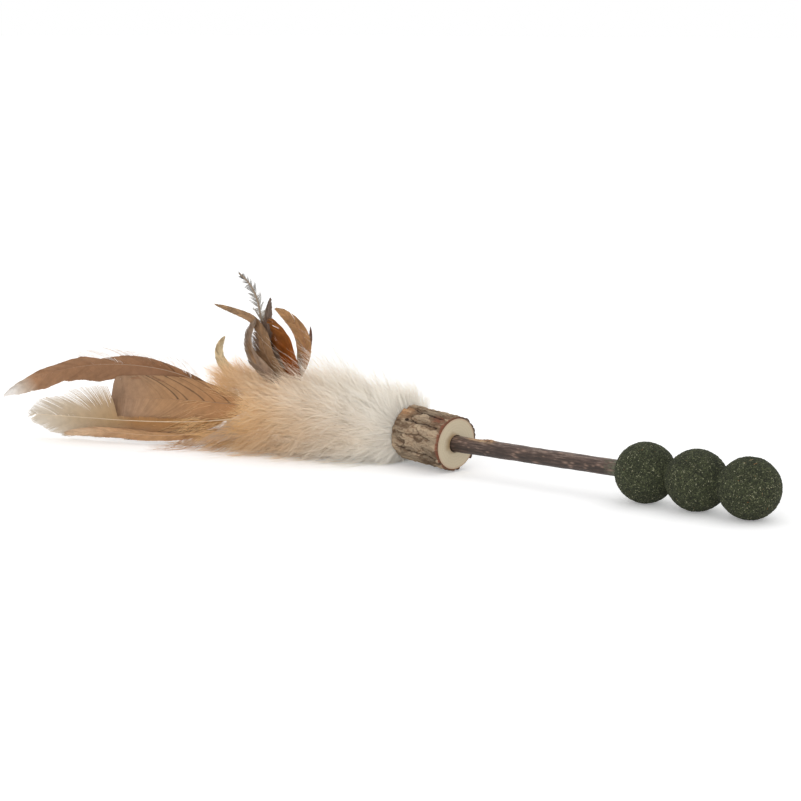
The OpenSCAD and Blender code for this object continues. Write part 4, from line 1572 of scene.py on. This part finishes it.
def clear_of_log(lines: Lines) -> Lines:
    """Keeps strands out of the log: what would enter it stays behind its rear face.

    Args:
        lines: Points in millimetres.

    Returns:
        The points, moved where needed.
    """
    back = along(LOG_RISE, -LOG_SKEW)
    depth = lines @ back
    radius = np.linalg.norm(lines - depth[..., None] * back, axis=-1)
    inside = (depth < LOG_LENGTH + 0.3) & (radius < 13.2)
    return lines + np.where(inside, LOG_LENGTH + 0.3 - depth, 0)[..., None] * back


@dataclass
class Tail:
    """The tail: six plumes of down round the root, four long feathers and eight curled ones."""

    plumes: tuple[tuple[float, float, str], ...] = (
        (0, 71, "down_white"), (71, 125, "down_cream"), (125, 180, "down_golden"),
        (-180, -125, "down_golden"), (-125, -71, "down_cream"), (-71, 0, "down_white"))

    def long_feathers(self) -> list[Feather]:
        """Lists the four long feathers, from the one that arches over to the low one.

        Returns:
            The feathers.
        """
        brown = FeatherVane("brown_hackle_vane", (
            (0.0, "#a07348"), (0.35, "#855b3b"), (0.6, "#9a7355"), (0.86, "#ad8362"), (0.91, "#cdbba9"),
            (0.96, "#f2ede7"), (1.0, "#f6f2ee")), "#c3a183", 0.2)
        pale = FeatherVane("pale_saddle_vane", (
            (0.0, "#a87948"), (0.42, "#ae8153"), (0.56, "#ba9c76"), (0.75, "#c4af92"), (1.0, "#dad0c1")),
            "#e6ded3", 0.5, 0.08)
        tan = FeatherVane("tan_body_vane", ((0.0, "#aa7a4e"), (0.6, "#9f7853"), (1.0, "#997c65")), "#a88563", 0.25)
        low = FeatherVane("reddish_tan_vane", (
            (0.0, "#b68f62"), (0.4, "#b48b61"), (0.7, "#bd9670"), (1.0, "#d9bfa2")), "#b58765", 0.4)
        return [
            Feather(
                "feather_arch", "feather_brown", brown, "#a88a70", (0.15, 0.05), length=225, up=5.5, down=5.5,
                vane_from=0.36, swell=8, blunt=6, camber=1.1,
                own=[(0.32, -2, 16, 0), (0.46, 25, 15, 10), (0.6, 6, 16, 25), (0.8, -11, 17, -15), (1, -33, 18, -30)],
                up_shape=((0, 0.2), (0.2, 0.36), (0.3, 0.5), (0.37, 0.68), (0.43, 0.85), (0.5, 0.82), (0.59, 0.54),
                          (0.655, 1.0), (0.74, 0.78), (0.83, 0.74), (0.92, 0.58), (1, 0.6)),
                down_shape=((0, 1.0), (0.3, 1.0), (0.42, 1.2), (0.5, 1.3), (0.54, 1.32), (0.6, 1.5), (0.68, 1.28),
                            (0.76, 1.17), (0.83, 1.46), (0.91, 1.4), (1, 1)),
                shade_bars=((0.2, Side.UPPER, 0.5), (0.25, Side.UPPER, 0.4), (0.31, Side.UPPER, 0.6),
                       (0.12, Side.UPPER, 0.8), (0.16, Side.LOWER, 0.5)),
                fringe=(0.2, 0.62, 6.4, 150), spacing=0.26, barb_w=0.36, split=0.02, sweep=2.4,
                rachis_r=(0.4, 0.05), seed=1),
            Feather(
                "feather_pale", "feather_pale", pale, "#e3cfb2", (-0.15, -0.25), length=197, up=16.1, down=9.9,
                vane_from=0.5, swell=5, blunt=6, camber=2.1,
                own=[(0.4, -11, 21, 0), (0.6, -3, 21.5, -8), (0.8, 1, 21.5, -14), (1, 0, 21.5, -18)],
                up_shape=((0, 1.3), (0.535, 1.26), (0.67, 1.17), (0.76, 1.07), (0.8, 0.88), (0.88, 0.88),
                          (0.93, 0.86), (1, 0.6)),
                down_shape=((0, 2.2), (0.12, 1.5), (0.3, 1.1), (0.6, 1.0), (0.75, 1.15), (0.85, 1.3), (1, 1.2)),
                slits=((0.45, Side.LOWER, 1.6), (0.76, Side.UPPER, 1.2)),
                shade_bars=((0.03, Side.LOWER, 0.5), (0.07, Side.LOWER, 0.6), (0.12, Side.LOWER, 0.7),
                       (0.18, Side.LOWER, 0.5)),
                fringe=(-0.3, -0.06, -5.5, 260), bare=0.52, spacing=0.32, clump=8, split=0.06, fray=0.07,
                sweep=1.7, low_sweep=3.0, barb_w=0.3, tint=0.3, seed=2),
            Feather(
                "feather_broad", "feather_tan", tan, "#9c7856", (-0.15, 0.05), length=155, up=9.5, down=9.5,
                vane_from=0.55, swell=5, blunt=60, camber=0.7,
                own=[(0.4, 1, 17.5, 0), (0.7, 1, 18, 8), (1, -5, 19, 14)],
                up_shape=((0, 1.6), (0.2, 1.2), (1, 1.15)),
                down_shape=((0, 2.4), (0.15, 1.8), (0.3, 1.35), (1, 1.35)),
                shade_bars=((0.49, Side.UPPER, 0.5), (0.42, Side.UPPER, 0.35), (0.29, Side.UPPER, 0.6),
                       (0.21, Side.UPPER, 0.4), (0.1, Side.UPPER, 0.8)),
                spacing=0.2, barb_w=0.42, split=0.02, fray=0.03, sweep=1.9, tilt=0.12, wave=0.5,
                rachis_r=(0.4, 0.05), seed=3),
            Feather(
                "feather_low", "feather_tan", low, "#c59f7c", (-0.15, -0.52), length=177, up=3, down=3,
                vane_from=0.5, swell=5, blunt=4, camber=0.5,
                own=[(0.4, -13, 23, 0), (0.6, -11, 23, 0), (0.8, 3, 24, -8), (1, -8, 24, -10)],
                up_shape=((0, 0.25), (0.3, 0.3), (0.5, 0.7), (0.8, 1.2), (1, 1.4)),
                slits=((0.35, Side.UPPER, 1.4), (0.5, Side.UPPER, 1.0)),
                fringe=(-0.35, 0.3, -6.5, 110), sweep=2.6, fray=0.1, seed=4)]

    def curled_feathers(self) -> list[Feather]:
        """Lists the eight curled feathers that rise from the down.

        Returns:
            The feathers.
        """
        curls = [
            Curl("crescent", "feather_tan", ((0.0, "#8e5f3e"), (0.5, "#986d46"), (1.0, "#a37d55")), "#ad8a62",
                 (0.08, 0.58), 108.6, 5.8, 0.58,
                 [(0.5, 10, 17, 0), (0.62, 118, 17, 0), (0.75, 98, 17, 20), (0.88, 46, 17, 10), (1, 21, 17, 0)],
                 {"up_shape": ((0, 1.1), (0.7, 1.4), (1, 1.4)), "down_shape": ((0, 1.1), (0.5, 1.5), (1, 1.3)),
                  "slits": ((0.72, Side.UPPER, 1.1),)}),
            Curl("sliver", "feather_dark", ((0.0, "#7a4a34"), (1.0, "#5e4234")), "#7a5a46",
                 (0.29, 0.58), 94.2, 2.2, 0.62,
                 [(0.55, 3, 14.2, 0), (0.68, 88, 14.2, 0), (0.82, 120, 14.2, 30), (1, 86, 14.2, 40)],
                 {"up_shape": ((0, 1.3), (1, 1.5))}),
            Curl("scoop", "feather_orange", ((0.0, "#9f5a31"), (0.5, "#9c541c"), (1.0, "#a06b3b")), "#9b551d",
                 (-0.16, 0.58), 99, 9, 0.58,
                 [(0.5, -3, 20, 0), (0.62, 84, 20, 0), (0.8, 79, 20, -30), (1, 34, 20, -30)],
                 {"up_shape": ((0, 1.1), (1, 1.1)), "down_shape": ((0, 1.6), (0.5, 2.2), (1, 2.2)),
                  "spacing": 0.17, "barb_w": 0.42}),
            Curl("spike", "feather_dark", ((0.0, "#7c6350"), (0.6, "#6f5a4c"), (1.0, "#4e4038")), "#8a7462",
                 (-0.05, 0.33), 107.4, 6.6, 0.58,
                 [(0.5, 42, 18.5, 0), (0.65, 46, 18.5, 0), (0.8, 77, 18.5, 20), (1, 106, 18.5, 20)],
                 {"down_shape": ((0, 2.2), (0.6, 2.6), (0.8, 0.8), (1, 0.6)), "split": 0.15, "fray": 0.15}),
            Curl("streamer", "feather_brown", ((0.0, "#8a6a4d"), (0.6, "#8a6a4d"), (1.0, "#9a7a58")), "#a98b6c",
                 (-0.3, 0.33), 119.6, 5.4, 0.5,
                 [(0.45, 43, 22.5, 0), (0.6, 40, 22.5, 0), (0.75, 85, 22.5, 0), (0.8, 60, 22.3, 5),
                  (0.86, 20, 22, 10), (1, 14, 22, 20)],
                 {"up_shape": ((0, 2.0), (0.5, 2.0), (0.62, 0.9), (1, 0.8)),
                  "down_shape": ((0, 1.6), (0.3, 3.2), (0.48, 2.8), (0.6, 0.9), (1, 0.8)), "split": 0.12}),
            Curl("fuzzy", "feather_grey", (
                 (0.0, "#8f7c68"), (0.5, "#a39c92"), (0.85, "#8d8a86"), (1.0, "#4d463f")), "#e0dcd6",
                 (0.2, 0.33), 128, 8.6, 0.66,
                 [(0.45, 18, 15.5, 0), (0.6, 67, 15.5, 0), (0.75, 80, 15.5, 10), (0.85, 79, 15.5, 10),
                  (1, 31, 15.5, 10)],
                 {"spacing": 0.36, "barb_w": 0.17, "loose": 0.5, "fray": 0.35, "sweep": 1.2, "split": 0.9,
                  "clump": 3.6, "rachis_r": (0.6, 0.42),
                  "shade_bars": ((0.1, Side.UPPER, 1.6), (0.07, Side.LOWER, 2.0), (0.2, Side.LOWER, 0.6))}),
            Curl("strip", "feather_brown", ((0.0, "#8a715e"), (1.0, "#957f6c")), "#a9957f",
                 (-0.5, 0.33), 104.8, 4.4, 0.6,
                 [(0.5, 25, 24, 0), (0.65, 39, 24, 0), (0.8, 54, 24, -20), (1, 131, 24, -40)],
                 {"up_shape": ((0, 2.0), (0.5, 3.0), (1, 2.0)), "down_shape": ((0, 1.5), (1, 1.8)),
                  "split": 0.15, "fray": 0.15, "spacing": 0.17, "barb_w": 0.38}),
            Curl("cream", "feather_cream", ((0.0, "#cfba96"), (0.6, "#c8b48f"), (1.0, "#c0ab87")), "#dccdb0",
                 (0.45, 0.33), 120, 3.8, 0.7,
                 [(0.6, 33, 11.5, 0), (0.75, -14, 11.5, 0), (0.88, 53, 11.5, 20), (1, 142, 11.5, 40)],
                 {"up_shape": ((0, 1.5), (1, 1.8)), "down_shape": ((0, 1.5), (1, 1.5)), "fray": 0.15, "wave": 0.5})]
        return [curl.feather(20 + i) for i, curl in enumerate(curls)]

    def build(self) -> None:
        """Builds every plume and feather."""
        mass, finish = DownMass(), LooseDown().material()
        for i, (low, high, slot) in enumerate(self.plumes):
            report(Plume(i + 1, low, high, slot, mass, finish).build())
        for feather in self.long_feathers() + self.curled_feathers():
            report(feather.build())


@dataclass
class Studio:
    """The pale floor, the plain soft light and the camera at the photograph's angle."""

    azimuth: float = 39.14
    elevation: float = 9.81
    lens: float = 98.876
    sensor: float = 36.0
    clip: tuple[float, float] = (0.01, 50.0)
    distance: float = 980.2
    right_shift: float = -24.78
    up_shift: float = 19.29
    floor_half: float = 20.0
    ambient: float = 0.77
    lamps: tuple[tuple[str, float, float, tuple[float, float, float]], ...] = (
        ("soft_top_lamp", 0.3, 60.0, (-0.05, 0.54, 1.0)), ("soft_front_lamp", 1.2, 50.0, (0.35, -0.9, 0.2)))

    def camera(self) -> None:
        """Sets the camera where the photograph was taken from."""
        az, el = math.radians(self.azimuth), math.radians(self.elevation)
        back = Vector((math.sin(az) * math.cos(el), -math.cos(az) * math.cos(el), math.sin(el)))
        right = Vector((math.cos(az), math.sin(az), 0))
        up = back.cross(right)
        target = right * self.right_shift + up * self.up_shift
        data = bpy.data.cameras.new("camera")
        data.lens, data.sensor_width = self.lens, self.sensor
        data.clip_start, data.clip_end = self.clip
        camera = linked("camera", data)
        turn = Matrix((right, up, back)).transposed().to_4x4()
        camera.matrix_world = Matrix.Translation((target + back * self.distance) * MM) @ turn
        bpy.context.scene.camera = camera

    def light(self) -> None:
        """Lights the object from a white room, with one soft lamp above and one low in front."""
        world = bpy.data.worlds.new("white_room")
        bpy.context.scene.world = world
        world.use_nodes = True
        tree = world.node_tree
        tree.nodes.clear()
        strength = add_node(tree, "MapRange", {0: seen(tree), 3: self.ambient, 4: 1.0})
        ground = add_node(tree, "Background", {"Color": "#ffffff", "Strength": strength})
        add_node(tree, "OutputWorld", {"Surface": ground})
        for name, energy, spread, way in self.lamps:
            lamp = bpy.data.lights.new(name, "SUN")
            lamp.energy, lamp.angle = energy, math.radians(spread)
            sun = linked(name, lamp)
            sun.rotation_euler = Vector(way).to_track_quat("Z", "Y").to_euler()

    def floor(self) -> None:
        """Lays the white sweep under the balls."""
        bm = bmesh.new()
        bmesh.ops.create_grid(bm, x_segments=1, y_segments=1, size=self.floor_half)
        bmesh.ops.translate(bm, vec=(0, 0, FLOOR_Z * MM), verts=bm.verts[:])
        floor = linked("white_sweep", mesh_of("white_sweep", bm))
        floor.data.materials.append(PaleFloor().material())

    def build(self) -> None:
        """Builds the whole studio."""
        self.camera()
        self.light()
        self.floor()
        bpy.context.scene.view_settings.view_transform = "Standard"


def report(piece: bpy.types.Object) -> None:
    """Logs a finished piece and its faces."""
    log.info("%s: %d faces", piece.name, len(piece.data.polygons))


def main() -> None:
    """Builds the wand in its studio."""
    logging.basicConfig(level=logging.INFO, format="%(message)s")
    for part in (Studio(), HerbBalls(), Twig(), BarkedLog(), Tail()):
        part.build()
        log.info("%s is built", type(part).__name__)


if __name__ == "__main__":
    main()
